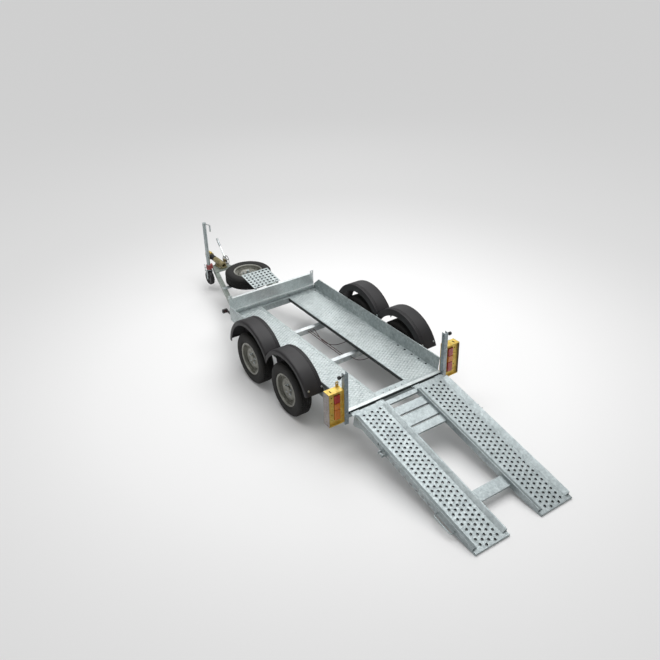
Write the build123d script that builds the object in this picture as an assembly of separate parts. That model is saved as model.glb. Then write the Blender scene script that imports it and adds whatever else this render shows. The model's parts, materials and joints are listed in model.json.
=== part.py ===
from build123d import *
import math
import os

# Twin-axle plant trailer with a split perforated ramp, modelled lowered to the ground.
# Frame: +X towards the coupling, +Y to the left, +Z up, ground at Z = 0, ramp hinge line near X = 0.

# Deck
DECK_L = 2440.0
DECK_W = 1200.0
DECK_H = 414.0
GAP_W = 390.0
SHEET = 3.0
DECK_FLANGE = 45.0
RAVE_H = 143.0
RAVE_LEAN = 18.0
RAVE_LIP = 14.0
RAVE_START = 48.0
RAVE_CHAMFER = 85.0
HEADBOARD_H = 205.0
HEADBOARD_LIP = 34.0
HEADBOARD_FOLD = 18.0
LEDGE_UP = 48.0
LEDGE_D = 26.0
LEDGE_T = 10.0
EYE_W = 40.0
EYE_H = 42.0
EYE_T = 8.0
EYE_R = 11.0
LASHING_R = 13.0
LASHING_INSET = 22.0
LASHING_REAR_INSET = 217.0
LASHING_REAR_PITCH = 118.0
LASHING_REAR_COUNT = 5
LASHING_FRONT_INSET = 76.0
LASHING_FRONT_PITCH = 103.0
LASHING_FRONT_COUNT = 4

# Chassis
RAIL_H = 72.0
RAIL_W = 50.0
RAIL_T = 4.0
REAR_BEAM = 60.0
REAR_STRIP = 113.0
FRONT_BEAM = 50.0

# Running gear
TYRE_R = 300.0
TYRE_W = 165.0
TYRE_GAP = 62.0
TREAD_ARC = 14.0
BEAD_BULGE = 40.0
AXLE_REAR_X = 824.0
AXLE_PITCH = 764.0
RIM_R = 170.0
RIM_W = 142.0
RIM_FLANGE_R = 188.0
RIM_FLANGE_T = 6.0
RIM_T = 5.0
DISC_T = 8.0
DISC_INSET = 46.0
DISC_RISE = 14.0
DISC_RING = 30.0
HUB_R = 42.0
HUB_INSET = 18.0
HUB_BACK = 70.0
HUB_STEP = 22.0
DRUM_R = 122.0
STUB_R = 17.0
STUB_INSET = 40.0
SPARE_BORE_GAP = 4.0
RUN_FIT = 0.05
AXLE_TUBE = 60.0
AXLE_TUBE_T = 5.0
ARM_TRAIL = 140.0
ARM_T = 26.0
ARM_END = 24.0
ARM_GAP = 8.0
HUB_GAP = 8.0
GUARD_R = 466.0
GUARD_T = 4.0
GUARD_BACK = 46.0
GUARD_RISE = 8.0
GUARD_INSET = 20.0
GUARD_PROUD = 18.0
GUARD_LIP = 24.0
GUARD_SPLIT = 3.0
GUARD_TAIL = 22.0
GUARD_NOSE = 8.0
GUARD_BAR_W = 28.0
GUARD_BAR_T = 6.0
GUARD_BAR_IN = 4.0

# Rear posts and lamps
POST_W = 46.0
POST_D = 44.0
POST_T = 4.0
POST_TAB = 26.0
POST_BOTTOM = 290.0
POST_TOP = 885.0
POST_GAP = 7.0
LATCH_Z = 850.0
LATCH_R = 7.0
LATCH_TRAVEL = 24.0
LATCH_REST = 6.0
KNOB_R = 17.0
KNOB_L = 26.0
LAMP_W = 177.0
LAMP_H = 380.0
LAMP_D = 96.0
LAMP_BACK = 14.0
LAMP_BOTTOM = 325.0
LAMP_T = 3.0
LENS_W = 66.0
LENS_H = 282.0
LENS_D = 34.0
LENS_INSET = 37.0
LENS_RISE = 53.0

# Ramp, in its own frame: hinge axis at the origin, ramp running along -X
HINGE_BACK = 30.0
HINGE_DROP = 22.0
RAMP_L = 1830.0
RAMP_SIDE_GAP = 5.0
RIDGE_W = 55.0
RIDGE_H = 35.0
RIDGE_FLAT = 2.0
RIDGE_START = 62.0
RIDGE_END = 45.0
RAMP_T = 4.0
WEB_DEPTH = 40.0
TREAD_START = 12.0
NOSE_L = 260.0
SLOT_L = 44.0
SLOT_H = 20.0
SLOT_START = 612.0
SLOT_PITCH = 86.0
SLOT_COUNT = 8
HINGE_PIN_R = 9.0
HINGE_PIN_END = 8.0
KNUCKLE_R = 17.0
KNUCKLE_L = 70.0
HINGE_LUG_T = 10.0
HINGE_LUG_IN = 5.0
HINGE_LUG_OUT = 30.0
HINGE_LUG_RISE = 6.0
LUG_GAP = 5.0
GUSSET_L = 130.0
GUSSET_FOOT = 40.0
GUSSET_DEPTH = 95.0
LATCH_HOLE_GAP = 6.0
CROSSBARS = ((30.0, 84.0), (150.0, 250.0), (276.0, 415.0), (440.0, 530.0), (1310.0, 1440.0))
CROSSBAR_T = 6.0
CROSSBAR_FOLD = 24.0
CROSSBAR_FOLD_T = 5.0
HANDLE_R = 6.0
HANDLE_REACH = 42.0
HANDLE_BEND = 24.0
HANDLE_FROM = 1330.0
HANDLE_TO = 1560.0
BRACKET_X = 548.0
BRACKET_L = 60.0
BRACKET_REACH = 46.0
BRACKET_T = 6.0
BRACKET_PIN_R = 7.0
BRACKET_PIN_IN = 12.0

# Drawbar and coupling, placed ahead of the deck's front end
BAR_H = 70.0
BAR_W = 50.0
BAR_T = 4.0
BAR_LAP = 200.0
BAR_INSET = 55.0
BAR_AHEAD = 1520.0
BAR_END_Y = 62.0
HEAD_PLATE_T = 8.0
HEAD_PLATE_L = 240.0
HOUSING_L = 250.0
HOUSING_OVERHANG = 60.0
HOUSING_R = 40.0
HOUSING_UP = 6.0
HOUSING_BORE = 25.0
FOOT_T = 14.0
FOOT_OUT = 12.0
DRAW_TUBE_L = 330.0
COUPLING_AHEAD = 300.0
BALL_R = 25.0
BALL_FIT = 0.3
SOCKET_R = 36.0
SOCKET_LOW = 46.0
SOCKET_TOP = 20.0
SOCKET_ROOF = 2.0
HEAD_L = 118.0
HEAD_TOP = 34.0
HEAD_LOW = 40.0
HANDLE_PIN_R = 4.0
HANDLE_PIN_UP = 15.0
HANDLE_PIN_IN = 18.0
LIFT_T = 9.0
GRIP_HALF = 11.0

# Jockey wheel
JOCKEY_BACK = 20.0
JOCKEY_GAP = 16.0
JOCKEY_OUTER_R = 24.0
JOCKEY_INNER_R = 19.0
JOCKEY_FIT = 0.05
JOCKEY_TUBE_TOP = 1000.0
JOCKEY_TUBE_BOTTOM = 316.0
JOCKEY_CAP = 12.0
JOCKEY_STROKE = 220.0
JOCKEY_WHEEL_R = 100.0
JOCKEY_WHEEL_W = 56.0
JOCKEY_WHEEL_Z = 190.0
JOCKEY_AXLE_R = 8.0
FORK_T = 6.0
FORK_GAP = 6.0
FORK_W = 32.0
FORK_TOP_GAP = 8.0
CLAMP_H = 60.0
CLAMP_BELOW = 17.0
CLAMP_T = 12.0
CLAMP_ARM = 44.0

# Handbrake
BRAKE_AHEAD = 1390.0
BRAKE_L = 330.0
BRAKE_PIN_R = 8.0
BRAKE_PIN_UP = 40.0
BRAKE_BOSS_R = 22.0
BRAKE_T = 12.0
BRAKE_W = 18.0
BRAKE_GRIP_R = 13.0
BRAKE_GRIP_L = 110.0
BRAKE_GAP = 6.0
BRAKE_ANGLE = 49.0

# Spare wheel and bucket rest
SPARE_AHEAD = 800.0
SPARE_Y = -90.0
CARRIER_T = 5.0
CARRIER_W = 70.0
REST_AHEAD = 180.0
REST_L = 330.0
REST_W = 375.0
REST_Y = -30.0
REST_Z = 556.0
REST_TILT = 9.0
REST_T = 4.0
REST_BAR = 40.0
REST_LEG_T = 10.0
REST_LEG_INSET = 30.0
REST_BAR_SETBACK = 4.0
REST_HOLE_R = 13.0
REST_HOLE_PITCH = 66.0

# Side marker lamps
MARKER_AHEAD = 150.0
MARKER_Y = 628.0
MARKER_DROP = 14.0
MARKER_ARM_W = 18.0
MARKER_INSET = 60.0
MARKER_W = 62.0
MARKER_H = 40.0
MARKER_D = 34.0

# Brake cables under the deck, each as points from the front of the axle tube that it leaves
CABLE_R = 4.0
CABLE_Z = 310.0
CABLE_Y = (-34.0, -62.0)

HALF = DECK_W / 2
UNDER = DECK_H - SHEET
RAIL_LOW = UNDER - RAIL_H
HINGE_X = -HINGE_BACK
HINGE_Z = DECK_H - HINGE_DROP
BAR_TOP = RAIL_LOW
TYRE_INNER = HALF + SHEET + TYRE_GAP
TRACK_OUTER = TYRE_INNER + TYRE_W
RIM_IN = TYRE_INNER + (TYRE_W - RIM_W) / 2
RIM_OUT = RIM_IN + RIM_W
AXLES = {"rear": AXLE_REAR_X, "front": AXLE_REAR_X + AXLE_PITCH}
TUBE_Z = RAIL_LOW - AXLE_TUBE / 2
RAMP_INNER = GAP_W / 2
RAMP_OUTER = HALF - RAMP_SIDE_GAP
RAMP_DROP = math.degrees(math.asin(HINGE_Z / RAMP_L))
RAMP_PLACE = Pos(HINGE_X, 0, HINGE_Z) * Rot(0, -RAMP_DROP, 0)
LUG_CENTRES = (RAMP_OUTER - HINGE_LUG_OUT + HINGE_LUG_T / 2, RAMP_INNER + HINGE_LUG_IN)
KNUCKLE_CENTRES = (
    LUG_CENTRES[0] - (HINGE_LUG_T + KNUCKLE_L) / 2 - LUG_GAP,
    LUG_CENTRES[1] + (HINGE_LUG_T + KNUCKLE_L) / 2 + LUG_GAP,
)
BAR_START_X = DECK_L - BAR_LAP
BAR_START_Y = HALF - BAR_INSET
BAR_END_X = DECK_L + BAR_AHEAD
HOUSING_X1 = BAR_END_X + HOUSING_OVERHANG
HOUSING_X0 = HOUSING_X1 - HOUSING_L
BALL_X = BAR_END_X + COUPLING_AHEAD
AXIS_Z = BAR_TOP + HEAD_PLATE_T + HOUSING_R + HOUSING_UP
JOCKEY_X = BAR_END_X - JOCKEY_BACK
BRAKE_X = DECK_L + BRAKE_AHEAD
SPARE_X = DECK_L + SPARE_AHEAD
REST_X0 = DECK_L + REST_AHEAD
MARKER_X = DECK_L + MARKER_AHEAD
MARKER_Z = DECK_H - MARKER_DROP

parts = {}


def block(x0, x1, y0, y1, z0, z1):
    """A block between two corners."""
    centre = Pos((x0 + x1) / 2, (y0 + y1) / 2, (z0 + z1) / 2)
    return centre * Box(x1 - x0, y1 - y0, z1 - z0)


def rod_x(radius, y, z, x0, x1):
    """A round bar along X."""
    return Pos((x0 + x1) / 2, y, z) * Rot(0, 90, 0) * Cylinder(radius, x1 - x0)


def rod_y(radius, x, z, y0, y1):
    """A round bar along Y."""
    return Pos(x, (y0 + y1) / 2, z) * Rot(90, 0, 0) * Cylinder(radius, y1 - y0)


def rod_z(radius, x, y, z0, z1):
    """A round bar along Z."""
    return Pos(x, y, (z0 + z1) / 2) * Cylinder(radius, z1 - z0)


def prism_x(points, x0, x1):
    """An outline of (y, z) points, run along X."""
    plane = Plane(origin=(x0, 0, 0), x_dir=(0, 1, 0), z_dir=(1, 0, 0))
    return extrude(plane * Polygon(*points, align=None), amount=x1 - x0, dir=(1, 0, 0))


def prism_y(points, y0, y1):
    """An outline of (x, z) points, run along Y."""
    plane = Plane(origin=(0, y1, 0), x_dir=(1, 0, 0), z_dir=(0, -1, 0))
    return extrude(plane * Polygon(*points, align=None), amount=y1 - y0, dir=(0, -1, 0))


def prism_z(points, z0, z1):
    """An outline of (x, y) points, run along Z."""
    return extrude(Pos(0, 0, z0) * Polygon(*points, align=None), amount=z1 - z0, dir=(0, 0, 1))


def turned_y(points, x, z):
    """A (y, radius) outline turned about a line along Y."""
    plane = Plane(origin=(x, 0, z), x_dir=(0, 1, 0), z_dir=(1, 0, 0))
    return revolve(plane * Polygon(*points, align=None), Axis((x, 0, z), (0, 1, 0)))


def other_side(shape):
    """The same piece on the right-hand side."""
    return mirror(shape, about=Plane.XZ)


def both(name, shape):
    """Stores a left-hand piece and its right-hand twin in nodes of their own."""
    parts[name + "_left"] = shape
    parts[name + "_right"] = other_side(shape)


def pair(name, *shapes):
    """Stores like pieces of both sides in one node."""
    solids = []
    for shape in shapes:
        solids += shape.solids() + other_side(shape).solids()
    parts[name] = Compound(children=solids)


def lashing_places():
    """Distances along the deck of the lashing holes."""
    rear = [LASHING_REAR_INSET + i * LASHING_REAR_PITCH for i in range(LASHING_REAR_COUNT)]
    front = [DECK_L - LASHING_FRONT_INSET - i * LASHING_FRONT_PITCH for i in range(LASHING_FRONT_COUNT)]
    return rear + front


def deck():
    """Two folded tread plates with lashing holes, their outer side raves and the headboard."""
    inner = GAP_W / 2
    plate = block(0, DECK_L, inner, HALF, UNDER, DECK_H)
    plate += block(REAR_STRIP, DECK_L - FRONT_BEAM, inner, inner + SHEET, DECK_H - DECK_FLANGE, DECK_H)
    for x in lashing_places():
        plate -= rod_z(LASHING_R, x, HALF - LASHING_INSET, UNDER - 1, DECK_H + 1)
    both("deck_plate", plate)

    top = DECK_H + RAVE_H
    lean = HALF + RAVE_LEAN
    outline = [
        (HALF, RAIL_LOW),
        (HALF + SHEET, RAIL_LOW),
        (HALF + SHEET, DECK_H),
        (lean, top - SHEET),
        (lean + RAVE_LIP - SHEET, top - SHEET),
        (lean + RAVE_LIP - SHEET, top - 3 * SHEET),
        (lean + RAVE_LIP, top - 3 * SHEET),
        (lean + RAVE_LIP, top),
        (lean - SHEET, top),
        (HALF, DECK_H),
    ]
    rave = prism_x(outline, RAVE_START, DECK_L + SHEET)
    ahead = DECK_L + SHEET + 1
    corner = [(DECK_L - RAVE_CHAMFER, top + 1), (ahead, top - RAVE_CHAMFER), (ahead, top + 1)]
    both("side_rave", rave - prism_y(corner, HALF - 1, lean + RAVE_LIP + 1))

    top = DECK_H + HEADBOARD_H
    out = DECK_L + HEADBOARD_LIP
    board = block(DECK_L, DECK_L + SHEET, -HALF, HALF, RAIL_LOW, top)
    board += block(DECK_L, out, -HALF, HALF, top - SHEET, top)
    board += block(out - SHEET, out, -HALF, HALF, top - HEADBOARD_FOLD, top)
    ledge = DECK_H + LEDGE_UP
    board += block(DECK_L - LEDGE_D, DECK_L, -HALF, HALF, ledge, ledge + LEDGE_T)
    for side in (-1, 1):
        y0, y1 = sorted((side * (HALF - EYE_W), side * HALF))
        eye = block(DECK_L, DECK_L + EYE_T, y0, y1, top, top + EYE_H)
        board += eye - rod_x(EYE_R, (y0 + y1) / 2, top + EYE_H / 2, DECK_L - 1, DECK_L + EYE_T + 1)
    parts["headboard"] = board


def chassis():
    """Side rails under the deck, and the rear and front cross beams."""
    rail = block(REAR_BEAM, DECK_L - FRONT_BEAM, HALF - RAIL_W, HALF, RAIL_LOW, UNDER)
    rail -= block(0, DECK_L, HALF - RAIL_W - 1, HALF - RAIL_T, RAIL_LOW + RAIL_T, UNDER - RAIL_T)
    for x in lashing_places():
        rail -= rod_z(LASHING_R, x, HALF - LASHING_INSET, RAIL_LOW - 1, UNDER + 1)
    pair("chassis_rails", rail)

    inside = (RAIL_LOW + RAIL_T, UNDER - RAIL_T)
    rear = block(0, REAR_BEAM, -HALF, HALF, RAIL_LOW, UNDER)
    rear -= block(RAIL_T, REAR_BEAM - RAIL_T, -HALF - 1, HALF + 1, *inside)
    rear += block(0, REAR_STRIP, -GAP_W / 2, GAP_W / 2, UNDER, DECK_H)
    for side in (-1, 1):
        for y in LUG_CENTRES:
            rear += hinge_lug(side * y)
    parts["rear_crossmember"] = rear

    front = block(DECK_L - FRONT_BEAM, DECK_L, -HALF, HALF, RAIL_LOW, UNDER)
    front -= block(DECK_L - FRONT_BEAM + RAIL_T, DECK_L - RAIL_T, -HALF - 1, HALF + 1, *inside)
    parts["front_crossmember"] = front


def hinge_lug(y):
    """A plate ear behind the rear cross beam that holds the hinge pin."""
    y0 = y - HINGE_LUG_T / 2
    y1 = y + HINGE_LUG_T / 2
    ear = block(HINGE_X, 0, y0, y1, HINGE_Z - KNUCKLE_R, HINGE_Z + HINGE_LUG_RISE)
    ear += rod_y(KNUCKLE_R, HINGE_X, HINGE_Z, y0, y1)
    return ear - rod_y(HINGE_PIN_R, HINGE_X, HINGE_Z, y0 - 1, y1 + 1)


def hinge_pins():
    """The steel pins that the ramp turns on."""
    y0 = LUG_CENTRES[1] - HINGE_LUG_T / 2 - HINGE_PIN_END
    y1 = LUG_CENTRES[0] + HINGE_LUG_T / 2 + HINGE_PIN_END
    pair("hinge_pins", rod_y(HINGE_PIN_R, HINGE_X, HINGE_Z, y0, y1))


def running_gear():
    """Axle tubes with trailing arms and stubs, wheels and mudguards."""
    arm_in = HALF + SHEET + ARM_GAP
    arm_out = arm_in + ARM_T
    half = AXLE_TUBE / 2
    wall = half - AXLE_TUBE_T
    for end, x in AXLES.items():
        tube_x = x + ARM_TRAIL
        axle = block(tube_x - half, tube_x + half, -arm_in, arm_in, TUBE_Z - half, TUBE_Z + half)
        axle -= block(tube_x - wall, tube_x + wall, -arm_in + 1, arm_in - 1, TUBE_Z - wall, TUBE_Z + wall)
        arm = [
            (tube_x + half, TUBE_Z + half),
            (x - ARM_END, TYRE_R + ARM_END),
            (x - ARM_END, TYRE_R - ARM_END),
            (tube_x + half, TUBE_Z - half),
        ]
        for side in (1, -1):
            y0, y1 = sorted((side * arm_in, side * arm_out))
            axle += prism_y(arm, y0, y1)
            y0, y1 = sorted((side * arm_out, side * (RIM_OUT - STUB_INSET)))
            axle += rod_y(STUB_R, x, TYRE_R, y0, y1)
        parts["axle_" + end] = axle

        tyre, rim = wheel(x, TYRE_R)
        both("tyre_" + end, tyre)
        both("rim_" + end, rim)
        both("mudguard_" + end, mudguard(end))
    pair("mudguard_bars", mudguard_bars())
    brake_cables()


def tyre_outline(inner):
    """Half section of a tyre as (offset along the axle, radius) points from its inner side."""
    w = TYRE_W
    bead = (w - RIM_W) / 2 + RIM_FLANGE_T
    bulge = RIM_FLANGE_R + BEAD_BULGE
    shoulder = TYRE_R - TREAD_ARC
    near = [
        (inner + bead, RIM_R),
        (inner + bead, RIM_FLANGE_R),
        (inner + 4, RIM_FLANGE_R + 14),
        (inner, bulge),
        (inner + 3, TYRE_R - 38),
        (inner + 12, shoulder),
        (inner + 26, TYRE_R - 4),
        (inner + w / 2 - 20, TYRE_R),
    ]
    far = [(2 * inner + w - y, radius) for y, radius in near]
    return near + far[::-1]


def rim_outline(inner, bore):
    """Section of a pressed steel rim with its disc and hub, as (offset, radius) points."""
    a = inner + (TYRE_W - RIM_W) / 2
    b = a + RIM_W
    disc = b - DISC_INSET
    back = disc - HUB_BACK
    low = RIM_R - RIM_T
    ring = HUB_R + HUB_STEP
    crown = (ring + low - DISC_RING) / 2
    return [
        (a, RIM_FLANGE_R),
        (a + RIM_FLANGE_T, RIM_FLANGE_R),
        (a + RIM_FLANGE_T, RIM_R),
        (b - RIM_FLANGE_T, RIM_R),
        (b - RIM_FLANGE_T, RIM_FLANGE_R),
        (b, RIM_FLANGE_R),
        (b, low),
        (disc + 2 * DISC_T, low),
        (disc + DISC_T, low - DISC_RING),
        (disc + DISC_T + DISC_RISE, crown),
        (disc + DISC_T, ring),
        (disc + DISC_T, HUB_R),
        (b - HUB_INSET, HUB_R),
        (b - HUB_INSET, bore),
        (back, bore),
        (back, ring),
        (disc, ring),
        (disc + DISC_RISE, crown),
        (disc, low - DISC_RING),
        (disc + DISC_T, low),
        (a, low),
    ]


def wheel(x, z):
    """A tyre and its rim with the brake drum, centred on a stub along Y."""
    tyre = turned_y(tyre_outline(TYRE_INNER), x, z)
    rim = turned_y(rim_outline(TYRE_INNER, STUB_R + RUN_FIT), x, z)
    drum_y = HALF + SHEET + ARM_GAP + ARM_T + HUB_GAP
    hub_y = RIM_OUT - DISC_INSET - HUB_BACK
    drum = rod_y(DRUM_R, x, z, drum_y, hub_y + 1)
    rim += drum - rod_y(STUB_R + RUN_FIT, x, z, drum_y - 1, hub_y + 2)
    return tyre, rim


def guard_centre(end):
    """The centre of a mudguard's arch, a little behind and above its wheel's."""
    return AXLES[end] - GUARD_BACK, TYRE_R + GUARD_RISE


def mudguard(end):
    """A moulded plastic arch over one wheel with a turned-down outer lip, cut where the two meet."""
    x, z = guard_centre(end)
    y0 = TYRE_INNER - GUARD_INSET
    y1 = TRACK_OUTER + GUARD_PROUD
    shell = rod_y(GUARD_R, x, z, y0, y1) - rod_y(GUARD_R - GUARD_T, x, z, y0 - 1, y1 - GUARD_T)
    shell -= rod_y(GUARD_R - GUARD_LIP, x, z, y0 - 1, y1 + 1)
    front = end == "front"
    way = 1 if front else -1
    angle = math.radians(GUARD_NOSE if front else GUARD_TAIL)
    reach = 2 * GUARD_R
    middle = x - way * (AXLE_PITCH - GUARD_SPLIT) / 2
    keep = [
        (middle, z),
        (x, z),
        (x + way * reach * math.cos(angle), z + reach * math.sin(angle)),
        (x + way * reach * math.cos(angle), z + reach),
        (middle, z + reach),
    ]
    return shell & prism_y(keep, y0 - 2, y1 + 2)


def mudguard_bars():
    """Flat brackets from the side of the chassis to the inner edges of the two guards."""
    edge = TYRE_INNER - GUARD_INSET
    middle_rise = math.sqrt((GUARD_R - GUARD_T) ** 2 - (AXLE_PITCH / 2) ** 2)
    places = [(AXLE_REAR_X - GUARD_BACK + AXLE_PITCH / 2, TYRE_R + GUARD_RISE + middle_rise)]
    for end, way, degrees in (("rear", -1, GUARD_TAIL), ("front", 1, GUARD_NOSE)):
        x, z = guard_centre(end)
        angle = math.radians(degrees + GUARD_BAR_IN)
        radius = GUARD_R - GUARD_T / 2
        places.append((x + way * radius * math.cos(angle), z + radius * math.sin(angle)))
    bars = None
    half = GUARD_BAR_W / 2
    for x, z in places:
        bar = block(x - half, x + half, edge - GUARD_BAR_T, edge, RAIL_LOW, z + GUARD_T)
        bar += block(x - half, x + half, HALF + SHEET, edge, RAIL_LOW, RAIL_LOW + GUARD_BAR_T)
        bars = bar if bars is None else bars + bar
    return bars


def cable(points, radii):
    """A cable along straight runs joined by arcs."""
    path = FilletPolyline(*points, radius=radii)
    start = Plane(origin=path @ 0, z_dir=path % 0)
    return sweep(start * Circle(CABLE_R), path=path)


def bend_radii(points):
    """The radius of the arc at each inner point, as large as its two runs allow."""
    radii = []
    for before, here, after in zip(points, points[1:], points[2:]):
        run_in = Vector(*here) - Vector(*before)
        run_out = Vector(*after) - Vector(*here)
        turn = math.radians(run_in.get_angle(run_out))
        radii.append(0.45 * min(run_in.length, run_out.length) / math.tan(turn / 2))
    return radii


def brake_cables():
    """Two straight cables between the axle tubes, and one slack cable from each tube to the right."""
    half = AXLE_TUBE / 2
    rear = AXLE_REAR_X + ARM_TRAIL
    front = rear + AXLE_PITCH
    solids = [rod_x(CABLE_R, y, CABLE_Z, rear + half, front - half) for y in CABLE_Y]
    start = front - half
    slack = [
        (start, -104, 316),
        (start - 40, -104, 316),
        (start - 125, -92, 290),
        (start - 225, -84, 268),
        (start - 325, -106, 258),
        (start - 400, -165, 268),
        (start - 450, -250, 300),
        (start - 480, -342, 338),
        (start - 490, -420, 372),
        (start - 490, -420, UNDER),
    ]
    start = rear - half
    short = [
        (start, -104, 316),
        (start - 28, -104, 316),
        (start - 70, -142, 292),
        (start - 112, -196, 296),
        (start - 146, -262, 322),
        (start - 172, -338, 350),
        (start - 180, -410, 376),
        (start - 180, -410, UNDER),
    ]
    for points in (slack, short):
        radii = bend_radii(points)
        print("cable bends", [round(radius) for radius in radii])
        solids.append(cable(points, radii))
    parts["brake_cables"] = Compound(children=[solid for shape in solids for solid in shape.solids()])


def rear_posts():
    """Upright channels at the rear corners, with the ramp latch pins, lamp guards and lamps."""
    y0 = HALF + POST_GAP
    y1 = y0 + POST_W
    x0 = -POST_D / 2
    x1 = POST_D / 2
    post = block(x0, x1, y0, y1, POST_BOTTOM, POST_TOP)
    post -= block(x0 + POST_T, x1 + 1, y0 + POST_T, y1 - POST_T, POST_BOTTOM - 1, POST_TOP + 1)
    post += block(x0 + 2 * POST_T, x1 + POST_TAB, HALF, y0, RAIL_LOW, UNDER)
    post -= rod_y(LATCH_R + RUN_FIT, 0, LATCH_Z, y0 - 1, y1 + 1)
    pair("rear_posts", post)

    knob_y = y1 + LATCH_TRAVEL + LATCH_REST
    pin = rod_y(LATCH_R, 0, LATCH_Z, y0, knob_y)
    pin += rod_y(KNOB_R, 0, LATCH_Z, knob_y, knob_y + KNOB_L)
    both("ramp_latch", pin)

    gx0 = -LAMP_BACK
    gx1 = gx0 + LAMP_D
    z1 = LAMP_BOTTOM + LAMP_H
    guard = block(gx0, gx1, y1, y1 + LAMP_W, LAMP_BOTTOM, z1)
    inner_y = (y1 + LAMP_T, y1 + LAMP_W - LAMP_T)
    guard -= block(gx0 - 1, gx1 - LAMP_T, *inner_y, LAMP_BOTTOM + LAMP_T, z1 - LAMP_T)
    pair("lamp_guards", guard)
    lens_y = y1 + LENS_INSET
    lens_z = LAMP_BOTTOM + LENS_RISE
    back = gx1 - LAMP_T
    pair("rear_lamps", block(back - LENS_D, back, lens_y, lens_y + LENS_W, lens_z, lens_z + LENS_H))


def ramp():
    """The two-track ramp with its ridges, webs, cross bars, knuckles, grab handles and brackets."""
    both("ramp_track", RAMP_PLACE * ramp_track())
    under = HINGE_DROP - RAMP_T
    bars = None
    for near, far in CROSSBARS:
        bar = block(-far, -near, -RAMP_INNER, RAMP_INNER, under - CROSSBAR_T, under)
        bar += block(-far, -far + CROSSBAR_FOLD_T, -RAMP_INNER, RAMP_INNER, under - CROSSBAR_FOLD, under)
        bars = bar if bars is None else bars + bar
    parts["ramp_crossbars"] = RAMP_PLACE * bars
    pair("ramp_handles", RAMP_PLACE * ramp_handle())
    pair("ramp_brackets", RAMP_PLACE * ramp_bracket())


def ramp_track():
    """One track: tread, two hollow three-cornered ridges, two webs and the hinge knuckles."""
    top = HINGE_DROP
    under = top - RAMP_T
    y0 = RAMP_INNER
    y1 = RAMP_OUTER
    ridge_x0 = -RAMP_L + RIDGE_END
    body = block(-RAMP_L, -TREAD_START, y0, y1, under, top)
    for outer, inward in ((y1, -1), (y0, 1)):
        a = outer
        b = outer + inward * RIDGE_W
        c = outer + inward * RAMP_T
        crest = top + RIDGE_H
        ridge = [(a, top), (a, crest), (a + inward * RIDGE_FLAT, crest), (b, top)]
        hollow = [(c, top), (c, top + RIDGE_H - 2 * RAMP_T), (b - inward * 3 * RAMP_T, top)]
        body += prism_x(ridge, ridge_x0, -RIDGE_START) - prism_x(hollow, ridge_x0 - 1, -RIDGE_START - RAMP_T)
        w0, w1 = sorted((a, c))
        web = [(-RIDGE_START, under), (-RIDGE_START, under - WEB_DEPTH)]
        web += [(-RAMP_L + NOSE_L, under - WEB_DEPTH)]
        web += [(-RAMP_L, 0), (-RAMP_L, under)]
        body += prism_y(web, w0, w1)
    foot_x = -RIDGE_START - GUSSET_FOOT
    gusset = [(-RIDGE_START, under), (-RIDGE_START, under - GUSSET_DEPTH), (foot_x, under - GUSSET_DEPTH)]
    gusset += [(-RIDGE_START - GUSSET_L, under - WEB_DEPTH), (-RIDGE_START - GUSSET_L, under)]
    body += prism_y(gusset, y1 - RAMP_T, y1)
    for i in range(SLOT_COUNT):
        body -= web_slot(-SLOT_START - i * SLOT_PITCH, y1)
    for y in KNUCKLE_CENTRES:
        k0 = y - KNUCKLE_L / 2
        k1 = y + KNUCKLE_L / 2
        body += rod_y(KNUCKLE_R, 0, 0, k0, k1)
        body += block(-RIDGE_START, -TREAD_START, k0, k1, 0, under)
    for y in KNUCKLE_CENTRES:
        body -= rod_y(HINGE_PIN_R + RUN_FIT, 0, 0, y - KNUCKLE_L, y + KNUCKLE_L)
    hole_x = -(LATCH_Z - HINGE_Z)
    body -= rod_y(LATCH_R + LATCH_HOLE_GAP, hole_x, HINGE_BACK, y1 - 3 * RAMP_T, y1 + 1)
    return body


def web_slot(x, y1):
    """The cutter of an oval hole through the outer web, centred at x along the ramp."""
    z = HINGE_DROP - RAMP_T - WEB_DEPTH / 2
    reach = (SLOT_L - SLOT_H) / 2
    y0 = y1 - RAMP_T - 1
    slot = block(x - reach, x + reach, y0, y1 + 1, z - SLOT_H / 2, z + SLOT_H / 2)
    slot += rod_y(SLOT_H / 2, x - reach, z, y0, y1 + 1)
    return slot + rod_y(SLOT_H / 2, x + reach, z, y0, y1 + 1)


def ramp_handle():
    """A bent rod that the ramp is lifted by, on the outside of the track."""
    z = HINGE_DROP - RAMP_T - WEB_DEPTH / 2
    y = RAMP_OUTER + HANDLE_REACH
    start_x = -HANDLE_FROM
    end_x = -HANDLE_TO
    points = [(start_x, RAMP_OUTER, z), (start_x, y, z), (end_x, y, z), (end_x, RAMP_OUTER, z)]
    path = FilletPolyline(*points, radius=HANDLE_BEND)
    start = Plane(origin=path @ 0, z_dir=path % 0)
    return sweep(start * Circle(HANDLE_R), path=path)


def ramp_bracket():
    """Two-pronged bracket on the outside of the track that meets the top of the rear post."""
    low = HINGE_DROP - RAMP_T - WEB_DEPTH
    y0 = RAMP_OUTER
    y1 = y0 + BRACKET_REACH
    x = -BRACKET_X
    half = BRACKET_L / 2
    bracket = block(x - half, x + half, y0, y0 + BRACKET_T, low, HINGE_DROP)
    for px in (x - half, x + half - BRACKET_T):
        bracket += block(px, px + BRACKET_T, y0, y1, low + BRACKET_T, HINGE_DROP - BRACKET_T)
    pin_z = (low + HINGE_DROP) / 2
    bracket += rod_x(BRACKET_PIN_R, y1 - BRACKET_PIN_IN, pin_z, x - half - BRACKET_T, x + half + BRACKET_T)
    return bracket


def bar_y(x):
    """Centre line of the left drawbar leg."""
    return BAR_START_Y + (BAR_END_Y - BAR_START_Y) * (x - BAR_START_X) / (BAR_END_X - BAR_START_X)


def leg_outline(inset, x0, x1):
    """Plan outline of the left drawbar leg, inset by a wall."""
    half = BAR_W / 2 - inset
    return [(x0, bar_y(x0) - half), (x1, bar_y(x1) - half), (x1, bar_y(x1) + half), (x0, bar_y(x0) + half)]


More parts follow.
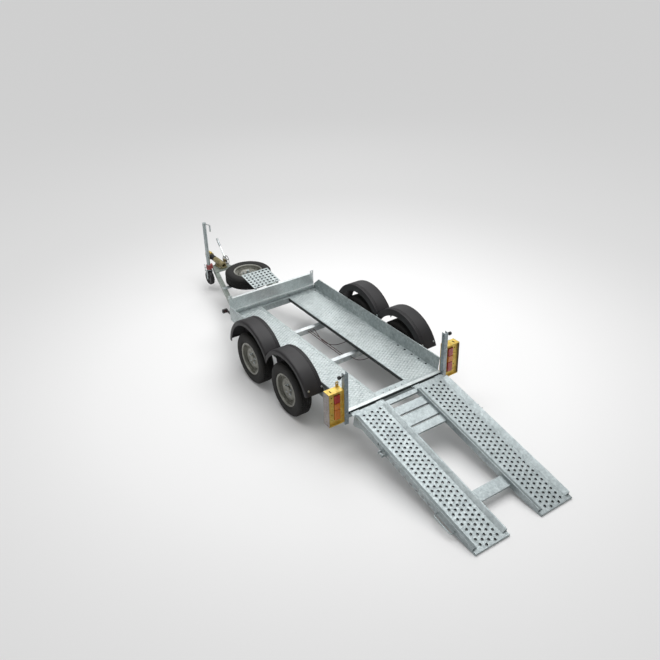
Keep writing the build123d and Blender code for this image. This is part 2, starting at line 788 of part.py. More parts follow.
def drawbar():
    """Two converging box legs, the head plate and the overrun housing."""
    low = BAR_TOP - BAR_H
    leg = prism_z(leg_outline(0, BAR_START_X, BAR_END_X), low, BAR_TOP)
    leg -= prism_z(leg_outline(BAR_T, BAR_START_X - 1, BAR_END_X + 1), low + BAR_T, BAR_TOP - BAR_T)
    pair("drawbar_legs", leg)

    z1 = BAR_TOP + HEAD_PLATE_T
    plate_x = BAR_END_X - HEAD_PLATE_L
    half0 = bar_y(plate_x) + BAR_W / 2
    half1 = bar_y(BAR_END_X) + BAR_W / 2
    plan = [(plate_x, -half0), (BAR_END_X, -half1), (BAR_END_X, half1), (plate_x, half0)]
    parts["drawbar_head"] = prism_z(plan, BAR_TOP, z1)

    flange = HOUSING_R + FOOT_OUT
    foot_x = BAR_END_X - 10
    housing = rod_x(HOUSING_R, 0, AXIS_Z, HOUSING_X0, HOUSING_X1)
    housing += block(HOUSING_X0 + 10, foot_x, -flange, flange, z1, z1 + FOOT_T)
    housing += block(HOUSING_X0 + 10, foot_x, -HOUSING_R + 4, HOUSING_R - 4, z1, AXIS_Z)
    housing -= rod_x(HOUSING_BORE, 0, AXIS_Z, HOUSING_X0 - 1, HOUSING_X1 + 1)
    ear = (BRAKE_X - BRAKE_BOSS_R, BRAKE_X + BRAKE_BOSS_R)
    pin_z = AXIS_Z + BRAKE_PIN_UP
    housing += block(*ear, -flange, -HOUSING_R + BRAKE_GAP, AXIS_Z - 8, pin_z + BRAKE_BOSS_R)
    lever_y = -flange - BRAKE_GAP
    housing += rod_y(BRAKE_PIN_R, BRAKE_X, pin_z, lever_y - BRAKE_T - 10, -flange + 1)
    parts["overrun_housing"] = housing


def coupling():
    """The draw tube, the ball coupling's head with its socket, and the lever on top of it."""
    tube_x1 = BALL_X - SOCKET_R + 4
    tube_x0 = tube_x1 - DRAW_TUBE_L
    parts["draw_tube"] = rod_x(HOUSING_BORE - RUN_FIT, 0, AXIS_Z, tube_x0, tube_x1)
    nose = BALL_X - HEAD_L
    top = AXIS_Z + HEAD_TOP
    cheek = SOCKET_R - 2
    head = rod_z(SOCKET_R, BALL_X, 0, AXIS_Z - SOCKET_LOW, AXIS_Z + SOCKET_TOP)
    head += block(nose, BALL_X, -cheek, cheek, AXIS_Z - HEAD_LOW, top)
    head -= rod_x(HOUSING_BORE - RUN_FIT, 0, AXIS_Z, nose - 1, tube_x1)
    head -= rod_z(BALL_R + BALL_FIT, BALL_X, 0, AXIS_Z - SOCKET_LOW - 1, AXIS_Z + SOCKET_ROOF)
    pin_x = nose + HANDLE_PIN_IN
    pin_z = top + HANDLE_PIN_UP
    for side in (-1, 1):
        y0, y1 = sorted((side * (GRIP_HALF + 1), side * (GRIP_HALF + 6)))
        head += block(pin_x - LIFT_T, pin_x + LIFT_T, y0, y1, top - 4, pin_z + LIFT_T)
    head += rod_y(HANDLE_PIN_R, pin_x, pin_z, -GRIP_HALF - 6, GRIP_HALF + 6)
    parts["coupling_head"] = head
    lever = rod_y(LIFT_T, pin_x, pin_z, -GRIP_HALF, GRIP_HALF)
    lever += block(pin_x, BALL_X + 6, -GRIP_HALF, GRIP_HALF, pin_z, pin_z + LIFT_T)
    lever -= rod_y(HANDLE_PIN_R + RUN_FIT, pin_x, pin_z, -GRIP_HALF - 1, GRIP_HALF + 1)
    parts["coupling_handle"] = lever


def handbrake():
    """The hand lever beside the overrun housing, leaning forward."""
    z = AXIS_Z + BRAKE_PIN_UP
    y1 = -HOUSING_R - FOOT_OUT - BRAKE_GAP
    y0 = y1 - BRAKE_T
    boss = rod_y(BRAKE_BOSS_R, BRAKE_X, z, y0, y1)
    arm = block(0, BRAKE_L, y0, y1, -BRAKE_W / 2, BRAKE_W / 2)
    grip = rod_x(BRAKE_GRIP_R, (y0 + y1) / 2, 0, BRAKE_L - BRAKE_GRIP_L, BRAKE_L)
    lever = boss + Pos(BRAKE_X, 0, z) * Rot(0, -BRAKE_ANGLE, 0) * (arm + grip)
    parts["handbrake_lever"] = lever - rod_y(BRAKE_PIN_R + RUN_FIT, BRAKE_X, z, y0 - 1, y1 + 1)


def jockey():
    """The jockey wheel on the left of the drawbar: clamp, outer tube, inner tube with fork, and wheel."""
    x = JOCKEY_X
    half = BAR_W / 2
    low = BAR_TOP - CLAMP_BELOW
    top = low + CLAMP_H
    fork_half = JOCKEY_WHEEL_W / 2 + FORK_GAP + FORK_T
    y = bar_y(x) + half + JOCKEY_GAP + fork_half
    reach = CLAMP_ARM / 2
    near = bar_y(x - reach) + half
    far = bar_y(x + reach) + half
    arm = [(x - reach, near), (x + reach, far), (x + reach, y), (x - reach, y)]
    clamp = rod_z(JOCKEY_OUTER_R + CLAMP_T, x, y, low, top) + prism_z(arm, low, top)
    parts["jockey_clamp"] = clamp - rod_z(JOCKEY_OUTER_R + JOCKEY_FIT, x, y, low - 1, top + 1)

    tube = rod_z(JOCKEY_OUTER_R, x, y, JOCKEY_TUBE_BOTTOM, JOCKEY_TUBE_TOP)
    tube -= rod_z(JOCKEY_INNER_R + JOCKEY_FIT, x, y, JOCKEY_TUBE_BOTTOM - 1, JOCKEY_TUBE_TOP - JOCKEY_CAP)
    parts["jockey_tube"] = tube

    wheel_half = JOCKEY_WHEEL_W / 2
    fork_top = JOCKEY_WHEEL_Z + JOCKEY_WHEEL_R + FORK_TOP_GAP
    cheek = FORK_W / 2
    fork = rod_z(JOCKEY_INNER_R, x, y, fork_top, JOCKEY_TUBE_TOP - JOCKEY_STROKE)
    fork += block(x - cheek, x + cheek, y - fork_half, y + fork_half, fork_top, fork_top + FORK_T + 2)
    for side in (-1, 1):
        c = y + side * (fork_half - FORK_T / 2)
        sides = (c - FORK_T / 2, c + FORK_T / 2)
        fork += block(x - cheek, x + cheek, *sides, JOCKEY_WHEEL_Z - cheek, fork_top + 1)
    fork += rod_y(JOCKEY_AXLE_R, x, JOCKEY_WHEEL_Z, y - fork_half, y + fork_half)
    parts["jockey_fork"] = fork

    roll = rod_y(JOCKEY_WHEEL_R, x, JOCKEY_WHEEL_Z, y - wheel_half, y + wheel_half)
    roll -= rod_y(JOCKEY_AXLE_R + RUN_FIT, x, JOCKEY_WHEEL_Z, y - wheel_half - 1, y + wheel_half + 1)
    parts["jockey_wheel"] = roll


def spare_wheel():
    """The spare wheel lying on a cross strap over the drawbar, on a centre stud."""
    z0 = BAR_TOP
    z1 = z0 + CARRIER_T
    reach = bar_y(SPARE_X) + BAR_W / 2
    half = CARRIER_W / 2
    strap = block(SPARE_X - half, SPARE_X + half, -reach, reach, z0, z1)
    strap += rod_z(STUB_R, SPARE_X, SPARE_Y, z0, z1 + TYRE_W - 2 * CARRIER_T)
    parts["spare_carrier"] = strap
    lay = Pos(SPARE_X, SPARE_Y, z1 - TYRE_INNER) * Rot(90, 0, 0)
    parts["spare_tyre"] = lay * turned_y(tyre_outline(TYRE_INNER), 0, 0)
    parts["spare_rim"] = lay * turned_y(rim_outline(TYRE_INNER, STUB_R + SPARE_BORE_GAP), 0, 0)


def rest_holes():
    """Places of the bucket rest's holes in staggered rows, along and across the plate."""
    places = []
    rows = int((REST_L - REST_HOLE_PITCH / 2) // (REST_HOLE_PITCH * 0.87))
    for j in range(rows):
        x = REST_L / 2 + (j - (rows - 1) / 2) * REST_HOLE_PITCH * 0.87
        count = int((REST_W - REST_HOLE_PITCH / 2) // REST_HOLE_PITCH) + 1 - j % 2
        for i in range(count):
            places.append((x, (i - (count - 1) / 2) * REST_HOLE_PITCH))
    return places


def bucket_rest():
    """A perforated plate that a digger bucket rests on, tilted up towards the front."""
    y0 = REST_Y - REST_W / 2
    y1 = y0 + REST_W
    plate = block(0, REST_L, y0, y1, 0, REST_T)
    for hx, hy in rest_holes():
        plate -= rod_z(REST_HOLE_R, hx, REST_Y + hy, -1, REST_T + 1)
    parts["bucket_rest"] = Pos(REST_X0, 0, REST_Z) * Rot(0, -REST_TILT, 0) * plate

    x0 = REST_X0 + REST_BAR_SETBACK
    x1 = x0 + REST_BAR
    reach = bar_y(REST_X0) + BAR_W / 2
    frame = block(x0, x1, -reach, reach, BAR_TOP, BAR_TOP + REST_BAR)
    lift = math.tan(math.radians(REST_TILT))
    top0 = REST_Z + (x0 - REST_X0) * lift
    top1 = REST_Z + (x1 - REST_X0) * lift
    leg = [(x0, BAR_TOP), (x1, BAR_TOP), (x1, top1), (x0, top0)]
    half = REST_LEG_T / 2
    for y in (y0 + REST_LEG_INSET, y1 - REST_LEG_INSET):
        frame += prism_y(leg, y - half, y + half)
    parts["bucket_rest_frame"] = frame


def marker_lamps():
    """Side marker lamps on short rubber stalks at the front corners."""
    y0 = MARKER_Y - MARKER_INSET
    half = MARKER_ARM_W / 2
    x0 = MARKER_X - MARKER_D / 2
    x1 = x0 + MARKER_D
    lamp = block(DECK_L + SHEET, x1, y0, y0 + MARKER_ARM_W, MARKER_Z - half, MARKER_Z + half)
    lamp += block(x0, x1, y0, y0 + MARKER_W, MARKER_Z - MARKER_H / 2, MARKER_Z + MARKER_H / 2)
    pair("marker_lamps", lamp)


deck()
chassis()
hinge_pins()
running_gear()
rear_posts()
ramp()
drawbar()
coupling()
handbrake()
jockey()
spare_wheel()
bucket_rest()
marker_lamps()

# The origin is on the ground, in the middle of the length from the ramp's end to the coupling.
drop = math.radians(RAMP_DROP)
REAR_END = HINGE_X - RAMP_L * math.cos(drop) - (HINGE_DROP + RIDGE_H) * math.sin(drop)
FRONT_END = BALL_X + SOCKET_R
MIDDLE = Pos(-(REAR_END + FRONT_END) / 2, 0, 0)

os.makedirs("parts", exist_ok=True)
for name, shape in parts.items():
    solids = (MIDDLE * shape).solids()
    export_step(solids[0] if len(solids) == 1 else Compound(children=list(solids)), f"parts/{name}.step")
print(len(parts), "nodes; ramp drop", round(RAMP_DROP, 4), "middle", round((REAR_END + FRONT_END) / 2, 4))
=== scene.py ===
"""Looks of a twin-axle plant trailer with its perforated ramp lowered to the ground.

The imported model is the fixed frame. Sizes are millimetres from the deck's rear edge,
as in the part's own source: X runs to the coupling, Y to the left and Z up.
"""

import json
import logging
import math
from dataclasses import dataclass, field
from enum import Enum
from typing import Any, Iterable, Optional, Sequence

import bmesh
import bpy
from mathutils import Matrix, Vector
from mathutils.geometry import delaunay_2d_cdt


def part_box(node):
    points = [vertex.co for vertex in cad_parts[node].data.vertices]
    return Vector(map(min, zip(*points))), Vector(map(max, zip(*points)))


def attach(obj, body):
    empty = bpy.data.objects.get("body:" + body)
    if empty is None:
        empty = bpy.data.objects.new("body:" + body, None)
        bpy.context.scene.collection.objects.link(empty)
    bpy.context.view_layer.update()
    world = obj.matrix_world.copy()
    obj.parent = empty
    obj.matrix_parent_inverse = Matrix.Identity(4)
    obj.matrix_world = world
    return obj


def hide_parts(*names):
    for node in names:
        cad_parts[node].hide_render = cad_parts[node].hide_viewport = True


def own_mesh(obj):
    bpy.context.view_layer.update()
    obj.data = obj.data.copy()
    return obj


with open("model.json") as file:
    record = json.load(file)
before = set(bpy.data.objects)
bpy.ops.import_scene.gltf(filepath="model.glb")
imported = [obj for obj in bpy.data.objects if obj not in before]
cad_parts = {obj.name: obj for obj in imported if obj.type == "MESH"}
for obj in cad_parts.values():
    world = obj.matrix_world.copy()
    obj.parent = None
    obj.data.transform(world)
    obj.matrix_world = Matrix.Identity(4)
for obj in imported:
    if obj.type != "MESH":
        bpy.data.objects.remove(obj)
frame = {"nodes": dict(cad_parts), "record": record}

LOG = logging.getLogger("trailer")
MM = 0.001
REAR_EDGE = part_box("deck_plate_left")[0].x
TO_ROW = Matrix.Translation((REAR_EDGE, 0, 0)) @ Matrix.Scale(MM, 4)
MIRROR = Matrix.Scale(-1, 4, (0, 1, 0))
UP = (0.0, 0.0, 1.0)

Point = tuple[float, ...]
Outline = Sequence[tuple[float, float]]


class Along(Enum):
    """The direction that an outline is run in, and how its two numbers are placed."""

    X = "x"
    Y = "y"
    Z = "z"

    def at(self, run: float, u: float, v: float) -> Vector:
        """The point at a distance along the run and at two numbers across it."""
        if self is Along.X:
            return Vector((run, u, v))
        if self is Along.Y:
            return Vector((u, run, v))
        return Vector((u, v, run))


class Slot(Enum):
    """The record's material slots."""

    GALVANISED = "galvanised"
    BRIGHT_ZINC = "bright_zinc"
    TYRE = "tyre"
    RIM = "rim_paint"
    GUARD = "guard_plastic"
    YELLOW_ZINC = "yellow_zinc"
    LENS = "lens"
    RUBBER = "black_rubber"
    BLACK = "black_paint"


def linear(code: str) -> tuple[float, float, float, float]:
    """The linear colour of an sRGB hex value."""
    values = [int(code[i : i + 2], 16) / 255 for i in (1, 3, 5)]
    red, green, blue = [v / 12.92 if v <= 0.04045 else ((v + 0.055) / 1.055) ** 2.4 for v in values]
    return red, green, blue, 1.0


def add(
    tree: bpy.types.NodeTree, kind: str, sockets: Optional[dict[Any, Any]] = None, **settings: Any
) -> bpy.types.Node:
    """Adds a node to a tree.

    Args:
        tree: the shader or geometry tree.
        kind: the node's type name.
        sockets: a value, or a socket to link from, for each input by name or number. A node stands
            for its first output, and a tuple of a Math operation and its terms for its result.
        settings: the node's own properties.

    Returns:
        The node.
    """
    node = tree.nodes.new(kind)
    for name, value in settings.items():
        setattr(node, name, value)
    for key, value in (sockets or {}).items():
        if isinstance(value, tuple) and isinstance(value[0], str):
            value = add(tree, "ShaderNodeMath", dict(enumerate(value[1:])), operation=value[0])
        if isinstance(value, bpy.types.Node):
            value = value.outputs[0]
        if isinstance(value, bpy.types.NodeSocket):
            tree.links.new(value, node.inputs[key])
        else:
            node.inputs[key].default_value = value
    return node


# Finishes


class Surface:
    """A material being built: its tree, its shader and the Object coordinates."""

    def __init__(self, name: str) -> None:
        """Starts an empty material of this name."""
        self.material = bpy.data.materials.new(name)
        self.material.use_nodes = True
        self.tree = self.material.node_tree
        self.tree.nodes.clear()
        self.shader = add(self.tree, "ShaderNodeBsdfPrincipled")
        add(self.tree, "ShaderNodeOutputMaterial", {"Surface": self.shader})
        self.place = add(self.tree, "ShaderNodeTexCoord").outputs["Object"]

    def noise(self, scale: float, detail: float, **more: float) -> bpy.types.Node:
        """A noise through the object: its scale to the metre, its detail and more inputs by name."""
        inputs = {"Vector": self.place, "Scale": scale, "Detail": detail}
        return add(self.tree, "ShaderNodeTexNoise", inputs | more)

    def span(
        self, value: Any, seen: tuple[float, float] = (0.0, 1.0), to: tuple[float, float] = (0.0, 1.0)
    ) -> bpy.types.Node:
        """A value carried from one range to another, and held at the ends."""
        inputs = {
            "Value": value, "From Min": seen[0], "From Max": seen[1], "To Min": to[0], "To Max": to[1]
        }
        return add(self.tree, "ShaderNodeMapRange", inputs)

    def blend(self, share: bpy.types.Node, first: Any, second: str) -> bpy.types.NodeSocket:
        """A colour between two, of which the first may be another blend."""
        first = linear(first) if isinstance(first, str) else first
        inputs = {0: share, 6: first, 7: linear(second)}
        return add(self.tree, "ShaderNodeMix", inputs, data_type="RGBA").outputs[2]

    def relief(self, height: bpy.types.NodeSocket, strength: float, depth_mm: float) -> bpy.types.Node:
        """The face's direction on small hills of this height."""
        return add(
            self.tree, "ShaderNodeBump", {"Height": height, "Strength": strength, "Distance": depth_mm * MM}
        )

    def wire(self, **links: Any) -> bpy.types.Material:
        """Fills or links the shader's inputs, named with underscores for spaces.

        Args:
            links: values, sockets or nodes by input name. A node stands for its first output.

        Returns:
            The material.
        """
        for key, value in links.items():
            socket = self.shader.inputs[key.replace("_", " ")]
            if isinstance(value, bpy.types.Node):
                value = value.outputs[0]
            if isinstance(value, bpy.types.NodeSocket):
                self.tree.links.new(value, socket)
            else:
                socket.default_value = value
        return self.material


@dataclass(frozen=True)
class DippedZinc:
    """Hot-dip galvanised steel: a crystal spangle, grey clouds and dull runs over a soft metal gloss."""

    name: str = "hot_dip_galvanised_steel"
    pale: str = "#bcc5c6"
    dark: str = "#949e9f"
    stain: str = "#7c8584"
    spangle_mm: float = 17.0
    cloud_mm: float = 190.0
    grain_mm: float = 5.0
    metallic: float = 0.62
    gloss: tuple[float, float] = (0.34, 0.58)
    bump_mm: float = 0.25

    def build(self) -> bpy.types.Material:
        """The material. Each crystal of the spangle has its own tone and gloss."""
        s = Surface(self.name)
        t = s.tree
        warp = s.noise(40.0, 2.0)
        moved = add(
            t,
            "ShaderNodeVectorMath",
            {0: warp.outputs["Color"], 1: (0.012, 0.012, 0.012)},
            operation="MULTIPLY",
        )
        warped = add(t, "ShaderNodeVectorMath", {0: s.place, 1: moved}, operation="ADD")
        cells = add(t, "ShaderNodeTexVoronoi", {"Vector": warped, "Scale": 1000 / self.spangle_mm})
        cell = add(t, "ShaderNodeSeparateColor", {"Color": cells.outputs["Color"]})
        cloud = s.noise(1000 / self.cloud_mm, 5.0, Roughness=0.6)
        soft = s.span(cloud.outputs["Fac"], (0.34, 0.68))
        tone = add(t, "ShaderNodeMix", {0: 0.42, 2: cell, 3: soft}, data_type="FLOAT")
        base = s.blend(tone, self.dark, self.pale)
        runs = s.noise(1000 / self.cloud_mm * 2.3, 8.0)
        dull = s.span(runs.outputs["Fac"], (0.56, 0.78), (0.0, 0.5))
        colour = s.blend(dull, base, self.stain)
        rough = s.span(cell.outputs[1], to=self.gloss)
        grain = s.noise(1000 / self.grain_mm, 3.0)
        bump = s.relief(grain.outputs["Fac"], 0.35, self.bump_mm)
        return s.wire(Base_Color=colour, Roughness=rough, Metallic=self.metallic, Normal=bump)


@dataclass(frozen=True)
class PlatedZinc:
    """Electroplated steel, clear or yellow passivated: a smooth bright film with a faint change of hue."""

    name: str = "bright_zinc_plated_steel"
    first: str = "#cfd4d5"
    second: str = "#aeb5b8"
    third: str = "#b9bcae"
    film_mm: float = 70.0
    metallic: float = 0.85
    gloss: tuple[float, float] = (0.2, 0.42)

    def build(self) -> bpy.types.Material:
        """The material. The film's hue drifts in wide soft patches."""
        s = Surface(self.name)
        film = s.noise(1000 / self.film_mm, 3.0, Distortion=0.8)
        wide = s.span(film.outputs["Fac"], (0.35, 0.65))
        base = s.blend(wide, self.first, self.second)
        patch = s.noise(2700 / self.film_mm, 4.0)
        share = s.span(patch.outputs["Fac"], (0.52, 0.72), (0.0, 0.7))
        colour = s.blend(share, base, self.third)
        rough = s.span(patch.outputs["Fac"], to=self.gloss)
        bump = s.relief(patch.outputs["Fac"], 0.2, 0.2)
        return s.wire(Base_Color=colour, Roughness=rough, Metallic=self.metallic, Normal=bump)


@dataclass(frozen=True)
class Moulded:
    """Moulded rubber or plastic: a fine grain, a dull face and dust in wide soft patches."""

    name: str = "moulded_rubber"
    base: str = "#1c1c1b"
    dust: str = "#3a3936"
    dust_share: float = 0.4
    grain_mm: float = 1.6
    grain_deep_mm: float = 0.12
    patch_mm: float = 130.0
    gloss: tuple[float, float] = (0.62, 0.85)
    specular: float = 0.35

    def build(self) -> bpy.types.Material:
        """The material. The grain is drawn coarser than the real one so that it shows."""
        s = Surface(self.name)
        patch = s.noise(1000 / self.patch_mm, 6.0, Roughness=0.62)
        share = s.span(patch.outputs["Fac"], (0.42, 0.74), (0.0, self.dust_share))
        colour = s.blend(share, self.base, self.dust)
        rough = s.span(patch.outputs["Fac"], (0.3, 0.7), self.gloss)
        grain = s.noise(1000 / self.grain_mm, 2.0)
        bump = s.relief(grain.outputs["Fac"], 0.5, self.grain_deep_mm)
        return s.wire(Base_Color=colour, Roughness=rough, Specular_IOR_Level=self.specular, Normal=bump)


@dataclass(frozen=True)
class Enamel:
    """Sprayed silver enamel on a pressed steel wheel: a satin flake with road film on it."""

    name: str = "sprayed_silver_enamel"
    base: str = "#83837b"
    film: str = "#55544c"
    flake_mm: float = 1.2
    film_mm: float = 60.0
    metallic: float = 0.45
    coat: float = 0.15

    def build(self) -> bpy.types.Material:
        """The material. The flake gives a grain to the gloss, and the film darkens patches."""
        s = Surface(self.name)
        t = s.tree
        film = s.noise(1000 / self.film_mm, 6.0)
        share = s.span(film.outputs["Fac"], (0.42, 0.75), (0.0, 0.75))
        colour = s.blend(share, self.base, self.film)
        flake = add(t, "ShaderNodeTexVoronoi", {"Vector": s.place, "Scale": 1000 / self.flake_mm})
        rough = s.span(flake.outputs["Distance"], to=(0.3, 0.5))
        return s.wire(Base_Color=colour, Roughness=rough, Metallic=self.metallic, Coat_Weight=self.coat)


@dataclass(frozen=True)
class Lens:
    """Moulded acrylic lens: deep colour under a clear gloss, with fine prisms across it."""

    name: str
    deep: str
    bright: str
    prism_mm: float = 6.0

    def build(self) -> bpy.types.Material:
        """The material. The prisms break the colour into fine light and dark bars."""
        s = Surface(self.name)
        t = s.tree
        bars = add(
            t,
            "ShaderNodeTexWave",
            {"Vector": s.place, "Scale": 1000 / self.prism_mm / 6.2832 * 3.1416},
            bands_direction="Z",
        )
        share = s.span(bars.outputs["Fac"], to=(0.15, 0.85))
        colour = s.blend(share, self.deep, self.bright)
        bump = s.relief(bars.outputs["Fac"], 0.3, 0.5)
        return s.wire(Base_Color=colour, Roughness=0.16, Coat_Weight=0.6, Coat_Roughness=0.05, Normal=bump)


class Palette:
    """The finishes of the trailer, each built once."""

    def __init__(self) -> None:
        """Builds every finish."""
        # General dipped steel: a mid-grey mottle.
        self.galvanised = DippedZinc().build()
        # The deck's big sheets: a wide spangle with dull clouds.
        self.deck = DippedZinc(
            "galvanised_deck_sheet", "#bfc7c7", "#929c9d", "#777f7f", 21.0, 240.0
        ).build()
        # The ramp's folded sheet: a finer and greyer spangle.
        self.ramp = DippedZinc(
            "galvanised_ramp_sheet", "#b1babb", "#8f989a", "#79827f", 15.0, 160.0
        ).build()
        # The posts' channels: a darker grey.
        self.post = DippedZinc("galvanised_channel", "#aab3b6", "#848e92", "#70797c", 14.0, 120.0).build()
        # The brightest zinc: rubbed high spots on the tread pattern, and painted highlight on the deck's
        # rear bead and the headboard's lip.
        self.worn = DippedZinc(
            "galvanised_worn_tread_and_painted_highlight",
            "#dde2e2",
            "#bcc4c4",
            "#a3abab",
            12.0,
            150.0,
            5.0,
            0.7,
            (0.3, 0.45),
        ).build()
        # Nearly black: painted shade on the returned edges and in the hole linings, so that gaps and holes
        # read as shadowed.
        self.shade = DippedZinc(
            "galvanised_painted_shade_dark", "#3f4545", "#2c3030", "#222525", 14.0, 90.0, 5.0, 0.2, (0.6, 0.8)
        ).build()
        # The clamp: a dull brick red.
        self.oxide = Enamel("red_oxide_primer", "#9c4a4a", "#5e3330", 1.6, 50.0, 0.05, 0.1).build()
        # The rear side lens: a dark red that hardly shows.
        self.smoked = Lens("smoked_red_acrylic_lens", "#241010", "#4a1c16").build()
        # The lamp guards' outer plates: a warm grey.
        self.side = DippedZinc(
            "galvanised_side_plate", "#a19b98", "#857f7d", "#6f6a68", 14.0, 120.0
        ).build()
        # The drawbar's old box steel: a dull green-grey.
        self.bar = DippedZinc(
            "weathered_galvanised_box_steel", "#9aa39c", "#7d857f", "#646a62", 19.0, 150.0
        ).build()
        # Clear plated fittings and axle tubes: the smoothest and brightest metal.
        self.bright = PlatedZinc().build()
        # The lamp guards: yellow film that drifts to green.
        self.yellow = PlatedZinc(
            "yellow_passivated_zinc", "#e6c765", "#c9a23c", "#a9b070", 60.0, 0.4, (0.32, 0.5)
        ).build()
        # The coupling's castings: a dull gold with brown patches.
        self.olive = PlatedZinc(
            "olive_passivated_casting", "#aea47c", "#857d5c", "#8e6a52", 45.0, 0.45, (0.4, 0.6)
        ).build()
        # Road tyres: matt black with grey dust.
        self.tyre = Moulded("moulded_tyre_rubber", "#1b1b1a", "#363431", 0.5).build()
        # Boots and knobs: a smoother black.
        self.rubber = Moulded(
            "moulded_black_rubber", "#19191a", "#2c2b29", 0.35, 1.2, 0.08, 60.0, (0.5, 0.7), 0.4
        ).build()
        # The mudguards: a dark satin with a broad soft sheen.
        self.guard = Moulded(
            "injection_moulded_polypropylene",
            "#1f1e20",
            "#322f30",
            0.35,
            1.4,
            0.05,
            260.0,
            (0.45, 0.6),
            0.38,
        ).build()
        # The brake cables: a dark red-brown.
        self.cable = Moulded(
            "extruded_cable_sheath", "#3a2626", "#5c4a44", 0.5, 1.2, 0.05, 80.0, (0.45, 0.6), 0.4
        ).build()
        # The wheels: a dirty silver.
        self.rim = Enamel().build()
        # Painted lamp bases and the ratchet: a soft black gloss.
        self.black = Enamel("black_chassis_enamel", "#1d1e20", "#34342f", 0.9, 90.0, 0.1, 0.25).build()
        # Rear lenses: deep red with fine bars.
        self.red = Lens("red_acrylic_lens", "#7c0d08", "#c6281a").build()
        # Indicator lenses: orange with fine bars.
        self.amber = Lens("amber_acrylic_lens", "#b2560a", "#e68a1e").build()
        # The front side lens: nearly white.
        self.clear = Lens("clear_acrylic_lens", "#b9bdbd", "#e8eaea").build()

    def of(self, slot: Slot) -> bpy.types.Material:
        """The usual finish of a slot."""
        return {
            Slot.GALVANISED: self.galvanised,
            Slot.BRIGHT_ZINC: self.bright,
            Slot.TYRE: self.tyre,
            Slot.RIM: self.rim,
            Slot.GUARD: self.guard,
            Slot.YELLOW_ZINC: self.yellow,
            Slot.LENS: self.red,
            Slot.RUBBER: self.rubber,
            Slot.BLACK: self.black,
        }[slot]


# Outlines


def ring(
    centre: tuple[float, float], radius: float, sides: int = 18, turn: float = 0.0
) -> list[tuple[float, float]]:
    """The corners of a round outline."""
    steps = [turn + 2 * math.pi * i / sides for i in range(sides)]
    return [(centre[0] + radius * math.cos(a), centre[1] + radius * math.sin(a)) for a in steps]


def oval(
    centre: tuple[float, float], length: float, height: float, sides: int = 8
) -> list[tuple[float, float]]:
    """The corners of an oblong outline with round ends, long in its first number."""
    reach = (length - height) / 2
    points = []
    for way, start in ((1, -90), (-1, 90)):
        for i in range(sides + 1):
            a = math.radians(start + 180 * i / sides)
            points.append(
                (centre[0] + way * reach + height / 2 * math.cos(a), centre[1] + height / 2 * math.sin(a))
            )
    return points


def rounded(spine: Outline, bend: float, steps: int = 5) -> list[tuple[float, float]]:
    """A line of straight runs with its inner corners rounded.

    Args:
        spine: the line's points.
        bend: the radius at each corner, less where a run is short.
        steps: faces in each corner.

    Returns:
        The points of the rounded line.
    """
    points = [Vector(p) for p in spine]
    out = [tuple(points[0])]
    for before, here, after in zip(points, points[1:], points[2:]):
        run_in, run_out = before - here, after - here
        angle = run_in.angle(run_out)
        cut = min(bend / math.tan(angle / 2), 0.48 * run_in.length, 0.48 * run_out.length)
        p, q = here + run_in.normalized() * cut, here + run_out.normalized() * cut
        for i in range(steps + 1):
            k = i / steps
            out.append(tuple(p * (1 - k) ** 2 + here * 2 * k * (1 - k) + q * k * k))
    return out + [tuple(points[-1])]


def walled(spine: Outline, wall: float) -> list[tuple[float, float]]:
    """The closed outline of a sheet whose middle follows a line."""
    points = [Vector(p) for p in spine]
    sides: tuple[list, list] = ([], [])
    for i, here in enumerate(points):
        a = (here - points[i - 1]).normalized() if i else None
        b = (points[i + 1] - here).normalized() if i + 1 < len(points) else None
        way = ((a or b) + (b or a)).normalized()
        normal = Vector((-way.y, way.x))
        stretch = 1 / max(0.35, normal.dot(Vector((-(a or b).y, (a or b).x))))
        for side, sign in zip(sides, (1, -1)):
            side.append(tuple(here + normal * sign * stretch * wall / 2))
    return sides[0] + sides[1][::-1]


def inside(point: tuple[float, float], outline: Outline) -> bool:
    """Whether a point lies in a closed outline."""
    x, y = point
    odd = False
    for (x0, y0), (x1, y1) in zip(outline, list(outline[1:]) + [outline[0]]):
        if (y0 > y) != (y1 > y) and x < x0 + (x1 - x0) * (y - y0) / (y1 - y0):
            odd = not odd
    return odd


# Pieces


